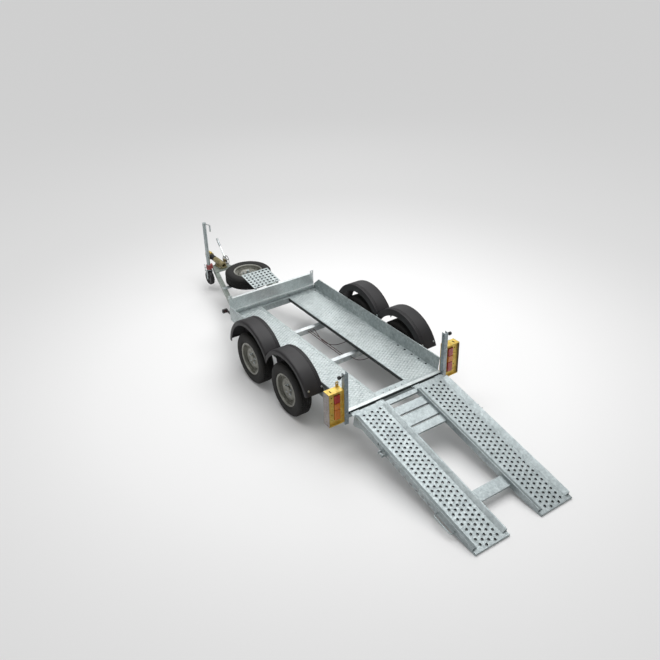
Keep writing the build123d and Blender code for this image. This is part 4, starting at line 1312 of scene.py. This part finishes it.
@dataclass
class Mudguards:
    """Moulded arches over the wheels, in pairs that meet between the axles."""

    shop: Shop
    rear_x: float = 824.0 - 46.0
    pitch: float = 764.0
    centre_z: float = 308.0
    radius: float = 466.0
    inner: float = 645.0
    outer: float = 848.0
    wall: float = 4.0
    tail: float = 22.0
    nose: float = 8.0
    split: float = 1.5
    lip: float = 52.0
    skirt: float = 78.0
    steps: int = 60

    def spine(self) -> list[tuple[float, float]]:
        """The middle of the sheet across the guard, as (offset, radius)."""
        r = self.radius - self.wall / 2
        points = [
            (self.inner, r - self.skirt),
            (self.inner, r - 7),
            (self.inner + 1.5, r - 2),
            (self.inner + 5, r),
        ]
        for i in range(3):
            y = self.inner + 12 + i * 12
            points += [(y, r), (y + 2, r - 2.6), (y + 6, r - 2.6), (y + 8, r)]
        points += [
            (self.inner + 70, r), (self.outer - 36, r), (self.outer - 22, r - 0.8), (self.outer - 11, r - 4)
        ]
        return points + [
            (self.outer - 4.5, r - 10), (self.outer - 2.2, r - 17), (self.outer - 2, r - self.lip)
        ]

    def arch(self, name: str, centre_x: float, way: int, last: float) -> Piece:
        """One arch from the vertical cut between the guards to its free end.

        Args:
            name: the piece's name.
            centre_x: the arch's centre.
            way: 1 where the free end is ahead of the centre, -1 where it is behind.
            last: the free end's angle above level, in degrees.

        Returns:
            The piece.
        """
        guard = Piece(name)
        outline = walled(self.spine(), self.wall)
        reach = self.pitch / 2 - self.split
        loops = []
        for i in range(self.steps + 1):
            loop = []
            for y, r in outline:
                start = math.pi - math.acos(reach / r)
                a = start + (math.radians(last) - start) * i / self.steps
                loop.append(Vector((centre_x + way * r * math.cos(a), y, self.centre_z + r * math.sin(a))))
            loops.append(loop)
        guard.skin(loops)
        return guard

    def build(self) -> None:
        """The two pairs of arches with their end flanges, the splash plates between them and the bolts."""
        p = self.shop.palette
        for end, x, way, last in (
            ("rear", self.rear_x, -1, self.tail), ("front", self.rear_x + self.pitch, 1, self.nose)
        ):
            guard = self.arch("mudguard_moulded_" + end, x, way, last)
            a = math.radians(last + 1.5)
            r = self.radius - self.wall - 3
            guard.pipe(
                [
                    (x + way * r * math.cos(a), y, self.centre_z + r * math.sin(a))
                    for y in (self.inner + 6, self.outer - 8)
                ],
                4.0,
                10,
            )
            both_sides(guard, Dressing(p.guard, Slot.GUARD, replaces=(f"mudguard_{end}_left",), sharp=50))
        splash = Piece("mudguard_splash_plate")
        mid = self.rear_x + self.pitch / 2
        shape = [(mid - 100, 250), (mid + 100, 250), (mid + 140, 410), (mid, 560), (mid - 140, 410)]
        splash.plate(Along.Y, shape, [], self.inner - 3.5, self.inner - 0.5)
        both_sides(splash, Dressing(p.guard, Slot.GUARD, bevel_mm=0.8))
        self.shop.bolts("mudguard_bolts", mirrored_spots(self.bolt_spots()), size=8.0)

    def bolt_spots(self) -> list[tuple[Point, Point]]:
        """Bolts through the guards near their free ends."""
        spots = []
        for x, way, degrees in (
            (self.rear_x, -1, self.tail + 7), (self.rear_x + self.pitch, 1, self.nose + 7)
        ):
            a = math.radians(degrees)
            aim = (way * math.cos(a), 0, math.sin(a))
            for y in (self.inner + 14, self.outer - 34):
                spots.append(((x + aim[0] * self.radius, y, self.centre_z + aim[2] * self.radius), aim))
        return spots


@dataclass
class Ramp:
    """The two perforated tracks with folded ridges, slotted webs and gussets, in the ramp's own frame."""

    shop: Shop
    hinge_x: float = -30.0
    hinge_z: float = 392.0
    length: float = 1830.0
    inner: float = 195.0
    outer: float = 595.0
    top: float = 22.0
    wall: float = 4.0
    ridge_w: float = 55.0
    ridge_h: float = 35.0
    web: float = 40.0
    start: float = 62.0
    end: float = 45.0
    hole_r: float = 13.0
    pitch_along: float = 58.04
    pitch_across: float = 49.7
    first_hole: float = 117.0
    last_hole: float = 26.0
    knuckles: tuple[float, float] = (525.0, 245.0)
    latch_hole: tuple[float, float] = (-458.0, 30.0)
    latch_r: float = 13.0

    def place(self) -> Matrix:
        """The ramp's frame, tilted down until its end stands on the ground."""
        drop = math.asin(self.hinge_z / self.length)
        return Matrix.Translation((self.hinge_x, 0, self.hinge_z)) @ Matrix.Rotation(-drop, 4, "Y")

    def hole_places(self) -> list[tuple[float, float]]:
        """The staggered perforations of the left track, as (along, across)."""
        middle = (self.inner + self.outer) / 2
        places = []
        for j in range(-2, 3):
            x = self.first_hole - (0.0 if j % 2 else self.pitch_along / 2)
            while x < self.length - self.last_hole:
                places.append((-x, middle + j * self.pitch_across))
                x += self.pitch_along
        return places

    def tread(self, track: Piece) -> None:
        """The perforated tread with its rolled foot."""
        edge = [
            (-self.length + 4, self.inner + 2),
            (-12, self.inner + 2),
            (-12, self.outer - 2),
            (-self.length + 4, self.outer - 2),
        ]
        holes = [ring(q, self.hole_r, 14) for q in self.hole_places()]
        track.plate(Along.Z, edge, holes, self.top - self.wall, self.top)
        foot = [(-self.length + 6, self.top - 2), (-self.length + 2, self.top - 2), (-self.length + 2, 3)]
        track.run(Along.Y, walled(rounded(foot, 5), self.wall - 0.5), self.inner + 1, self.outer - 1)

    def ridges(self, track: Piece) -> None:
        """The folded three-cornered ridges along both edges."""
        low = self.top - self.wall
        for edge, inward in ((self.outer, -1), (self.inner, 1)):
            mid = edge + inward * self.wall / 2
            foot = low - 2
            if edge == self.outer:
                foot = self.top + self.ridge_h - 9
                ends = (-self.length + self.end, -self.start)
                wall = [(ends[0], low - 2), (ends[1], low - 2), (ends[1], foot), (ends[0], foot)]
                track.plate(
                    Along.Y, wall, [ring(self.latch_hole, self.latch_r, 20)], edge - self.wall, edge
                )
            spine = [
                (mid, foot),
                (mid, self.top + self.ridge_h - 2),
                (mid + inward * (self.ridge_w - 4), self.top - 0.5),
            ]
            track.run(Along.X, walled(rounded(spine, 7), self.wall), -self.length + self.end, -self.start)
            cap = [
                (mid, self.top),
                (mid, self.top + self.ridge_h - 7),
                (mid + inward * (self.ridge_w - 10), self.top),
            ]
            for x in (-self.length + self.end + 3, -self.start - 6):
                track.run(Along.X, cap, x, x + 3)

    def webs(self, track: Piece) -> None:
        """The side webs, tapered at the foot, the outer one with oval slots and the hinge gusset."""
        low = self.top - self.wall
        deep = low - self.web
        for edge, inward in ((self.outer, -1), (self.inner, 1)):
            y0, y1 = sorted((edge, edge + inward * self.wall))
            shape = [
                (-self.start, low),
                (-self.start, deep),
                (-self.length + 260, deep),
                (-self.length, 0),
                (-self.length, low),
            ]
            slots = []
            if edge == self.outer:
                shape = [
                    (-self.start, low),
                    (-self.start, low - 95),
                    (-self.start - 40, low - 95),
                    (-self.start - 130, deep),
                ] + shape[2:]
                slots = [oval((-x, low - self.web / 2), 44, 20, 5) for x in self.slot_places()]
            track.plate(Along.Y, shape, slots, y0, y1)

    def slot_places(self) -> list[float]:
        """Distances of the outer web's slots from the hinge."""
        return [612.0 + i * 86.0 for i in range(8)]

    def build(self) -> None:
        """Both tracks, the collars and sleeves of their holes with dark liners inside as painted shade, and
        the cross bars' bolts.
        """
        p = self.shop.palette
        place = self.place()
        track = Piece("ramp_track_folded", place)
        self.tread(track)
        self.ridges(track)
        self.webs(track)
        for y in self.knuckles:
            track.turned(
                Along.Y,
                [(y - 35, 9.1), (y - 35, 16), (y - 34, 17), (y + 34, 17), (y + 35, 16), (y + 35, 9.1)],
                (0, 0),
                32,
            )
            track.run(
                Along.Y,
                [(-self.start, 0), (-15, 0), (-8, 14), (-12, 18), (-self.start, 18)],
                y - 34,
                y + 34,
            )
        both_sides(track, Dressing(p.ramp, Slot.GALVANISED, "ramp", ("ramp_track_left",)))

        spots = [(x, y, self.top + 0.3) for x, y in self.hole_places()]
        spots += [(x, -y, z) for x, y, z in spots]
        # The liners are nearly black: painted shade inside the ramp's holes.
        forms = (
            ("collars", p.ramp, 0.0, 0.3, 3.6, 2.2),
            ("sleeves", p.ramp, 11.0, 0.6, 2.4, 9.5),
            ("liners_painted_shade", p.shade, 11.0, 1.4, 1.0, 9.0),
        )
        for name, look, drop, less, width, height in forms:
            lowered = [(x, y, z - drop) for x, y, z in spots]
            worn = Dressing(look, Slot.GALVANISED, "ramp", sharp=80)
            sizes = {"Hole_Radius": self.hole_r - less, "Collar_Width": width, "Collar_Height": height}
            self.shop.scatter("ramp_hole_" + name, self.shop.growers.collars, lowered, worn, place, **sizes)
        spots = [((-x, y, 12), (0, 0, -1)) for x in (57, 200, 346, 485, 1375) for y in (205, 222)]
        self.shop.bolts("ramp_bar_bolts", mirrored_spots(spots), "ramp", 7.0, place)


@dataclass
class RearLamps:
    """Posts with their lamp guards, lamps, tabs and knobs."""

    shop: Shop
    inner: float = 653.0
    width: float = 177.0
    low: float = 325.0
    height: float = 380.0
    back: float = -14.0
    depth: float = 96.0
    wall: float = 3.0
    lens_y: float = 690.0
    lens_w: float = 66.0
    lens_low: float = 378.0
    lens_h: float = 282.0

    def guard(self) -> Piece:
        """The box round the lamp, open to the rear, with flanges and a slotted back."""
        box = Piece("lamp_guard")
        y0, y1 = self.inner, self.inner + self.width
        z0, z1 = self.low, self.low + self.height
        x0, x1 = self.back, self.back + self.depth
        edge = [(y0, z0), (y1, z0), (y1, z1), (y0, z1)]
        holes = [ring((y0 + 100 + 20 * i, z0 + 22), 4.5, 12) for i in range(3)]
        box.plate(Along.X, edge, holes, x1 - self.wall, x1)
        for low, high in ((z0, z0 + self.wall), (z1 - self.wall, z1)):
            box.plate(
                Along.Z,
                [(x0, y0), (x1 - 2, y0), (x1 - 2, y1), (x0, y1)],
                [oval((x0 + 46, y0 + 130), 40, 14, 5)],
                low,
                high,
            )
        side = [(x0, z0), (x1 - 2, z0), (x1 - 2, z1), (x0, z1)]
        box.plate(
            Along.Y,
            side,
            [ring((x0 + 30, z1 - 40), 7, 14), ring((x0 + 30, z0 + 40), 7, 14)],
            y0,
            y0 + self.wall,
        )
        tab = [
            (y0 + 4, z1 - 2),
            (y0 + 40, z1 - 2),
            (y0 + 40, z1 + 48),
            (y0 + 34, z1 + 58),
            (y0 + 10, z1 + 58),
            (y0 + 4, z1 + 48),
        ]
        box.plate(Along.X, tab, [ring((y0 + 22, z1 + 36), 8, 16)], x1 - 12, x1 - 8)
        return box

    def build(self) -> None:
        """Both lamp guards, their outer plates, lamps, knobs and bolts."""
        p = self.shop.palette
        both_sides(
            self.guard(), Dressing(p.yellow, Slot.YELLOW_ZINC, replaces=("lamp_guards",), bevel_mm=0.8)
        )
        y1 = self.inner + self.width
        plate = Piece("lamp_guard_plate")
        x0, x1 = self.back, self.back + self.depth
        z0, z1 = self.low, self.low + self.height
        side = [(x0 + 6, z0), (x1, z0), (x1, z1), (x0 + 6, z1), (x0, z1 - 10), (x0, z0 + 10)]
        plate.plate(
            Along.Y, side, [ring((x0 + 48, z0 + h), 6, 14) for h in (50, 190, 330)], y1 - self.wall, y1
        )
        both_sides(plate, Dressing(p.side, Slot.YELLOW_ZINC, bevel_mm=0.6))
        self.lamps()
        knob = Piece("ramp_latch_knob")
        knob.turned(
            Along.Y,
            [(681, 0.01), (681, 14), (683, 17.5), (688, 19), (702, 19), (708, 17), (711, 12), (711, 0.01)],
            (0, 850),
            28,
        )
        both_sides(knob, Dressing(p.rubber, Slot.BRIGHT_ZINC), ("ramp_latch_left", "ramp_latch_right"))
        spots = [((-22, 630, z), (-1, 0, 0)) for z in (360, 420, 640, 700)]
        spots += [((20, 607, z), (0, -1, 0)) for z in (355, 395)]
        self.shop.bolts("post_bolts", mirrored_spots(spots), size=7.5)

    def lamps(self) -> None:
        """Lenses in red and amber over a black base, in a plated panel with holes."""
        p = self.shop.palette
        y0, y1 = self.lens_y, self.lens_y + self.lens_w
        z0 = self.lens_low
        x1 = self.back + self.depth - self.wall
        front = self.back + 22
        z1 = self.low + self.height
        edge = [
            (self.inner + 4, self.low + 4),
            (self.inner + self.width - 4, self.low + 4),
            (self.inner + self.width - 4, z1 - 4),
            (self.inner + 4, z1 - 4),
        ]
        panel = Piece("lamp_panel")
        opening = [
            (y0 - 3, z0 - 3),
            (y1 + 3, z0 - 3),
            (y1 + 3, z0 + self.lens_h + 3),
            (y0 - 3, z0 + self.lens_h + 3),
        ]
        holes = [ring((self.inner + 130, self.low + h), 7, 14) for h in (60, 120, 260, 320)]
        panel.plate(Along.X, edge, [opening] + holes, front, front + 2.5)
        both_sides(panel, Dressing(p.yellow, Slot.YELLOW_ZINC))
        base = Piece("lamp_base")
        base.block((x1 - 14, y0 - 3, z0 - 3), (x1, y1 + 3, z0 + self.lens_h + 3))
        both_sides(base, Dressing(p.black, Slot.BLACK, bevel_mm=2.5))
        parts = (
            ("low_lens", p.red, 0.0, 0.4),
            ("amber_lens", p.amber, 0.42, 0.66),
            ("red_lens_high", p.red, 0.68, 1.0),
        )
        for i, (name, look, low, high) in enumerate(parts):
            lens = Piece(name)
            outline = rounded(
                [(x1 - 13, y0), (self.back + 7, y0), (self.back + 7, y1), (x1 - 13, y1)], 8, 4
            )
            lens.run(Along.Z, outline, z0 + self.lens_h * low, z0 + self.lens_h * high)
            if i == 0:
                settle(
                    name + "_left",
                    lens.mesh(),
                    Dressing(p.amber, Slot.LENS, replaces=("rear_lamps",), bevel_mm=3.0, sharp=50),
                )
                settle(name + "_right", lens.mesh(True), Dressing(p.red, Slot.LENS, bevel_mm=3.0, sharp=50))
                continue
            both_sides(lens, Dressing(look, Slot.LENS, bevel_mm=3.0, sharp=50))


@dataclass
class Drawbar:
    """The drawbar's fittings: bellows, brake grip, plates' bolts and the coupling's details."""

    shop: Shop
    axis_z: float = 393.0
    housing_end: float = 4020.0
    head_start: float = 4142.0
    brake_x: float = 3830.0
    brake_z: float = 433.0
    brake_angle: float = 49.0

    def bellows(self) -> None:
        """The folded rubber boot over the draw tube, on the fixed frame."""
        boot = Piece("draw_tube_bellows")
        start, end = self.housing_end - 4, self.head_start - 6
        folds = 8
        outer = []
        for i in range(folds * 2 + 1):
            outer.append((start + (end - start) * i / (folds * 2), 30.0 if i % 2 else 37.0))
        profile = outer + [(end, 25.2), (start, 25.2)]
        boot.turned(Along.X, profile, (0, self.axis_z), 40)
        worn = Dressing(self.shop.palette.rubber, Slot.RUBBER, "root", sharp=20)
        obj = settle("draw_tube_bellows", boot.mesh(), worn)
        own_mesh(obj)

    def grip(self) -> None:
        """The ribbed plated sleeve on the hand lever."""
        a = math.radians(self.brake_angle)
        place = Matrix.Translation((self.brake_x, -64, self.brake_z)) @ Matrix.Rotation(-a, 4, "Y")
        grip = Piece("handbrake_grip", place)
        profile = [(218, 9)]
        for i in range(9):
            x = 222 + i * 12
            profile += [(x, 14.5), (x + 7, 14.5), (x + 8, 13), (x + 11, 13)]
        grip.turned(Along.X, profile + [(331, 9), (331, 0.01), (218, 0.01)], (0, 0), 28)
        settle(
            "handbrake_grip_sleeve",
            grip.mesh(),
            Dressing(self.shop.palette.bright, Slot.BRIGHT_ZINC, "handbrake"),
        )

    def ratchet(self) -> None:
        """The two toothed rings beside the hand lever, with their spokes."""
        pair = Piece("handbrake_ratchet")
        here = (self.brake_x, self.brake_z)
        for y in (-86.0, -51.0):
            pair.turned(Along.Y, [(y, 51), (y + 4, 51), (y + 4, 60), (y, 60)], here, 48)
            for i in range(24):
                a = 2 * math.pi * i / 24
                spot = (here[0] + 61 * math.cos(a), here[1] + 61 * math.sin(a))
                pair.run(Along.Y, ring(spot, 3.2, 3, a), y, y + 4)
            for i in range(3):
                a = 2 * math.pi * (i + 0.25) / 3
                across = Vector((-math.sin(a), math.cos(a))) * 4
                ends = [Vector(here) + Vector((math.cos(a), math.sin(a))) * r for r in (6, 53)]
                arm = [
                    tuple(ends[0] + across),
                    tuple(ends[0] - across),
                    tuple(ends[1] - across),
                    tuple(ends[1] + across),
                ]
                pair.run(Along.Y, arm, y + 0.5, y + 3.5)
        pair.rod(Along.Y, here, 8, -86, -72, 18)
        settle("handbrake_ratchet", pair.mesh(), Dressing(self.shop.palette.black, Slot.BLACK))

    def build(self) -> None:
        """The boot, the grip, the ratchet and the bolts."""
        self.bellows()
        self.grip()
        self.ratchet()
        spots = [((x, y, 361), UP) for x in (3800, 3940) for y in (46,)]
        spots += [((x, y, 347), UP) for x in (3738, 3752) for y in (60,)]
        self.shop.bolts("drawbar_bolts", mirrored_spots(spots), size=8.5)
        spots = [((4170, 34, 400), (0, 1, 0)), ((4210, 34, 400), (0, 1, 0))]
        self.shop.bolts("coupling_bolts", mirrored_spots(spots), "coupling", 8.5)


@dataclass
class Jockey:
    """The jockey wheel's tyre and hub, its crank and clamp screw."""

    shop: Shop
    x: float = 3940.0
    y: float = 149.0
    wheel_z: float = 190.0
    wheel_w: float = 56.0
    top: float = 1000.0

    def build(self) -> None:
        """The wheel, the crank on the tube's side and the clamp's tommy screw."""
        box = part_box("jockey_wheel")
        self.y = (box[0].y + box[1].y) / 2 / MM
        p = self.shop.palette
        half = self.wheel_w / 2
        y0 = self.y - half
        tyre = Piece("jockey_tyre")
        section = [(4, 62), (3, 74), (0, 80), (1, 90), (6, 96.5), (15, 99.5), (28, 100)]
        section += [(self.wheel_w - t, r) for t, r in section[-2::-1]]
        tyre.turned(Along.Y, [(y0 + t, r) for t, r in section], (self.x, self.wheel_z), 64)
        settle(
            "jockey_tyre", tyre.mesh(), Dressing(p.rubber, Slot.RUBBER, "jockey_wheel", ("jockey_wheel",))
        )
        hub = Piece("jockey_hub")
        section = [
            (2, 8.1),
            (2, 22),
            (10, 26),
            (14, 34),
            (14, 56),
            (7, 60),
            (7, 63),
            (49, 63),
            (49, 60),
            (42, 56),
            (42, 34),
            (46, 26),
            (54, 22),
            (54, 8.1),
        ]
        hub.turned(Along.Y, [(y0 + t, r) for t, r in section], (self.x, self.wheel_z), 48)
        settle("jockey_hub", hub.mesh(), Dressing(p.black, Slot.BLACK, "jockey_wheel"))

        crank = Piece("jockey_crank")
        crank.rod(Along.Z, (self.x, self.y), 12, self.top - 14, self.top - 1, 20)
        crank.pipe(
            [
                (self.x, self.y, self.top - 9),
                (self.x - 70, self.y - 20, self.top - 9),
                (self.x - 104, self.y - 30, self.top - 12),
            ],
            6,
            10,
        )
        crank.pipe(
            [(self.x - 104, self.y - 30, self.top - 8), (self.x - 104, self.y - 30, self.top - 96)], 11, 14
        )
        settle("jockey_crank", crank.mesh(), Dressing(p.bright, Slot.BRIGHT_ZINC, "jockey_tube"))

        screw = Piece("jockey_clamp_screw")
        z = 356.0
        screw.rod(Along.Y, (self.x, z), 7, self.y + 34, self.y + 64, 16)
        screw.rod(Along.Z, (self.x, self.y + 58), 5, z - 42, z + 42, 12)
        for end in (z - 44, z + 44):
            screw.rod(Along.Z, (self.x, self.y + 58), 8, end - 6, end + 6, 14)
        settle("jockey_clamp_screw", screw.mesh(), Dressing(p.bright, Slot.BRIGHT_ZINC, "root"))


@dataclass
class MarkersAndRest:
    """The side marker lamps' lenses, and the bucket rest with dark sleeves in its holes as painted shade,
    and its bolts.
    """

    shop: Shop
    lens_y: float = 599.0
    lens_z: float = 400.0
    lens_r: float = 16.0
    rest_x: float = 2620.0
    rest_z: float = 556.0
    rest_y: float = -30.0
    rest_length: float = 330.0
    rest_width: float = 375.0
    rest_tilt: float = 9.0
    rest_sheet: float = 4.0
    hole_r: float = 15.0
    pitch: float = 52.0
    rows: int = 6
    columns: int = 7

    def build(self) -> None:
        """The lenses on their stalks, then the bucket rest."""
        self.lenses()
        self.rest()

    def lenses(self) -> None:
        """A clear lens to the front and a smoked red one to the rear of each stalk."""
        p = self.shop.palette
        for name, look, x0, x1 in (
            ("marker_front_lens", p.clear, 2605, 2613), ("marker_rear_lens", p.smoked, 2567, 2575)
        ):
            lens = Piece(name)
            outline = ring((0, 0), self.lens_r, 20)
            steps = ((x0 + 2, 0.9), (x0 + 4, 1.0), (x1 - 2, 1.0), (x1, 0.8)) if look is p.clear else (
                (x0, 0.8), (x0 + 2, 1.0), (x1 - 4, 1.0), (x1 - 2, 0.9)
            )
            lens.skin(
                [
                    [Vector((t, self.lens_y + u * k, self.lens_z + v * k)) for u, v in outline]
                    for t, k in steps
                ]
            )
            both_sides(lens, Dressing(look, Slot.LENS))

    def rest(self) -> None:
        """The tilted plate with straight rows of holes, dark sleeves in them as painted shade, and its
        bolts.
        """
        p = self.shop.palette
        place = Matrix.Translation((self.rest_x, 0, self.rest_z)) @ Matrix.Rotation(
            -math.radians(self.rest_tilt), 4, "Y"
        )
        spots = [((12, y, self.rest_sheet), UP) for y in (-160, 100)]
        self.shop.bolts("bucket_rest_bolts", spots, "root", 8.0, place)
        rest = Piece("bucket_rest_perforated", place)
        middle = (self.rows - 1) / 2, (self.columns - 1) / 2
        places = []
        for i in range(self.rows):
            for j in range(self.columns):
                across = self.rest_y + (j - middle[1]) * self.pitch
                places.append((self.rest_length / 2 + (i - middle[0]) * self.pitch, across))
        y0, y1 = self.rest_y - self.rest_width / 2, self.rest_y + self.rest_width / 2
        edge = [(0, y0), (self.rest_length, y0), (self.rest_length, y1), (0, y1)]
        rest.plate(Along.Z, edge, [ring(q, self.hole_r, 16) for q in places], 0, self.rest_sheet)
        settle(
            "bucket_rest_perforated",
            rest.mesh(),
            Dressing(p.deck, Slot.GALVANISED, replaces=("bucket_rest",)),
        )
        # Nearly black sleeves under the holes: painted shade inside them.
        spots = [(x, y, -5.8) for x, y in places]
        dark = Dressing(p.shade, Slot.GALVANISED, sharp=80)
        sleeve = {"Hole_Radius": self.hole_r - 0.9, "Collar_Width": 1.6, "Collar_Height": 9.0}
        self.shop.scatter("bucket_rest_hole_painted_shade", self.shop.growers.collars, spots, dark, place, **sleeve)


@dataclass
class CadDress:
    """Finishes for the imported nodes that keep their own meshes."""

    shop: Shop

    def looks(self) -> dict[str, bpy.types.Material]:
        """The finish of each node that isn't its slot's usual one."""
        p = self.shop.palette
        looks = {n: p.deck for n in ("deck_plate_left", "deck_plate_right")}
        # The headboard is in the brightest zinc: painted highlight on its lit top lip.
        looks |= {"headboard": p.worn, "jockey_clamp": p.oxide, "bucket_rest": p.deck}
        looks |= {n: p.ramp for n in ("ramp_crossbars", "ramp_brackets")}
        looks |= {
            "rear_posts": p.post, "drawbar_legs": p.bar, "drawbar_head": p.bar, "brake_cables": p.cable
        }
        looks |= {"axle_rear": p.bright, "axle_front": p.bright, "overrun_housing": p.olive}
        looks |= {
            "coupling_head": p.olive,
            "coupling_handle": p.yellow,
            "draw_tube": p.bright,
            "handbrake_lever": p.bright,
        }
        return looks

    def build(self) -> None:
        """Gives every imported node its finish."""
        p = self.shop.palette
        looks = self.looks()
        slots = self.node_slots()
        for name, obj in frame["nodes"].items():
            look = looks.get(name) or p.of(slots.get(name, Slot.GALVANISED))
            if not obj.material_slots:
                obj.data.materials.append(look)
            for held in obj.material_slots:
                held.material = look

    def node_slots(self) -> dict[str, Slot]:
        """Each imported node's slot, read from the record."""
        found = {}
        for entry in frame["record"].get("subparts", []):
            found[entry["node"]] = Slot(entry["material_slot"])
        return found


# Room, light and camera


@dataclass
class Studio:
    """A pale seamless floor, soft lamps and the pale room."""

    floor_colour: str = "#eeeeee"
    room_colour: str = "#dcdcdc"
    world: float = 0.42
    fill_near: float = 0.1
    fill_far: float = 0.8

    def floor(self) -> None:
        """A wide pale floor that keeps the trailer's shadow."""
        mesh = bpy.data.meshes.new("studio_floor")
        size = 120.0
        mesh.from_pydata(
            [(-size, -size, 0), (size, -size, 0), (size, size, 0), (-size, size, 0)], [], [(0, 1, 2, 3)]
        )
        obj = bpy.data.objects.new("studio_floor", mesh)
        bpy.context.scene.collection.objects.link(obj)
        material = bpy.data.materials.new("painted_studio_floor")
        material.use_nodes = True
        t = material.node_tree
        t.nodes.clear()
        matt = add(t, "ShaderNodeBsdfDiffuse", {"Color": linear(self.floor_colour)})
        glow = add(t, "ShaderNodeEmission", {"Color": linear(self.floor_colour), "Strength": 0.84})
        rays = add(t, "ShaderNodeLightPath")
        seen = ("MAXIMUM", rays.outputs["Is Camera Ray"], rays.outputs["Is Glossy Ray"])
        seen_at_all = ("MAXIMUM", seen, rays.outputs["Is Transmission Ray"])
        place = add(t, "ShaderNodeTexCoord").outputs["Object"]
        far = add(t, "ShaderNodeVectorMath", {0: place}, operation="LENGTH")
        fill = add(
            t,
            "ShaderNodeMapRange",
            {
                "Value": far.outputs["Value"],
                "From Min": 2.6,
                "From Max": 6.0,
                "To Min": self.fill_near,
                "To Max": self.fill_far,
            },
        )
        mixed = add(t, "ShaderNodeMixShader", {0: ("MULTIPLY", seen_at_all, fill), 1: matt, 2: glow})
        add(t, "ShaderNodeOutputMaterial", {"Surface": mixed})
        mesh.materials.append(material)

    def room(self) -> None:
        """The even pale light all round, a little brighter to the eye than to the trailer."""
        world = bpy.data.worlds.new("studio_room")
        bpy.context.scene.world = world
        world.use_nodes = True
        t = world.node_tree
        t.nodes.clear()
        rays = add(t, "ShaderNodeLightPath")
        strength = add(
            t,
            "ShaderNodeMapRange",
            {"Value": rays.outputs["Is Camera Ray"], "To Min": self.world, "To Max": 1.0},
        )
        back = add(t, "ShaderNodeBackground", {"Color": linear(self.room_colour), "Strength": strength})
        add(t, "ShaderNodeOutputWorld", {"Surface": back})

    def lamp(self, name: str, spot: Point, target: Point, size: float, power: float) -> None:
        """A square soft lamp that faces a target."""
        data = bpy.data.lights.new(name, "AREA")
        data.size = size
        data.energy = power
        obj = bpy.data.objects.new(name, data)
        bpy.context.scene.collection.objects.link(obj)
        obj.location = spot
        obj.rotation_euler = (Vector(target) - Vector(spot)).to_track_quat("-Z", "Y").to_euler()

    def build(self) -> None:
        """The floor, the room and two soft lamps overhead."""
        self.floor()
        self.room()
        self.lamp("overhead", (0.3, -0.7, 6.5), (0.0, 0.0, 0.0), 7.5, 550.0)
        self.lamp("behind", (7.0, -4.5, 5.0), (0.5, 0.0, 0.2), 4.0, 88.0)


@dataclass
class CameraRig:
    """The photograph's camera, found from the trailer's own straight lines."""

    spot: Point = (-6.215124, 4.08987, 4.88338)
    yaw: float = -33.560
    pitch: float = 30.192
    roll: float = -1.544
    focal_px: float = 766.96
    frame_px: float = 660.0
    sensor: float = 36.0

    def build(self) -> None:
        """Makes the camera and makes it the scene's own."""
        yaw, pitch, roll = (math.radians(a) for a in (self.yaw, self.pitch, self.roll))
        ahead = Vector((math.cos(yaw) * math.cos(pitch), math.sin(yaw) * math.cos(pitch), -math.sin(pitch)))
        right = Vector((math.sin(yaw), -math.cos(yaw), 0.0))
        up = right.cross(ahead)
        turned = right * math.cos(roll) + up * math.sin(roll)
        level = up * math.cos(roll) - right * math.sin(roll)
        data = bpy.data.cameras.new("photo_camera")
        data.sensor_width = self.sensor
        data.lens = self.focal_px / self.frame_px * self.sensor
        data.clip_end = 400.0
        obj = bpy.data.objects.new("photo_camera", data)
        bpy.context.scene.collection.objects.link(obj)
        turn = Matrix((turned, level, -ahead)).transposed().to_4x4()
        obj.matrix_world = Matrix.Translation(self.spot) @ turn
        bpy.context.scene.camera = obj


def main() -> None:
    """Builds the camera, the room and each sub-assembly in turn, and logs each one as it is built."""
    logging.basicConfig(level=logging.INFO, format="%(name)s %(message)s")
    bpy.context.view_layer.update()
    CameraRig().build()
    Studio().build()
    bpy.context.scene.view_settings.view_transform = "Standard"
    shop = Shop()
    for assembly in (
        CadDress, Deck, RearStrip, Wheels, Mudguards, Ramp, RearLamps, Drawbar, Jockey, MarkersAndRest
    ):
        assembly(shop).build()
        LOG.info("%s built", assembly.__name__)


if __name__ == "__main__":
    main()
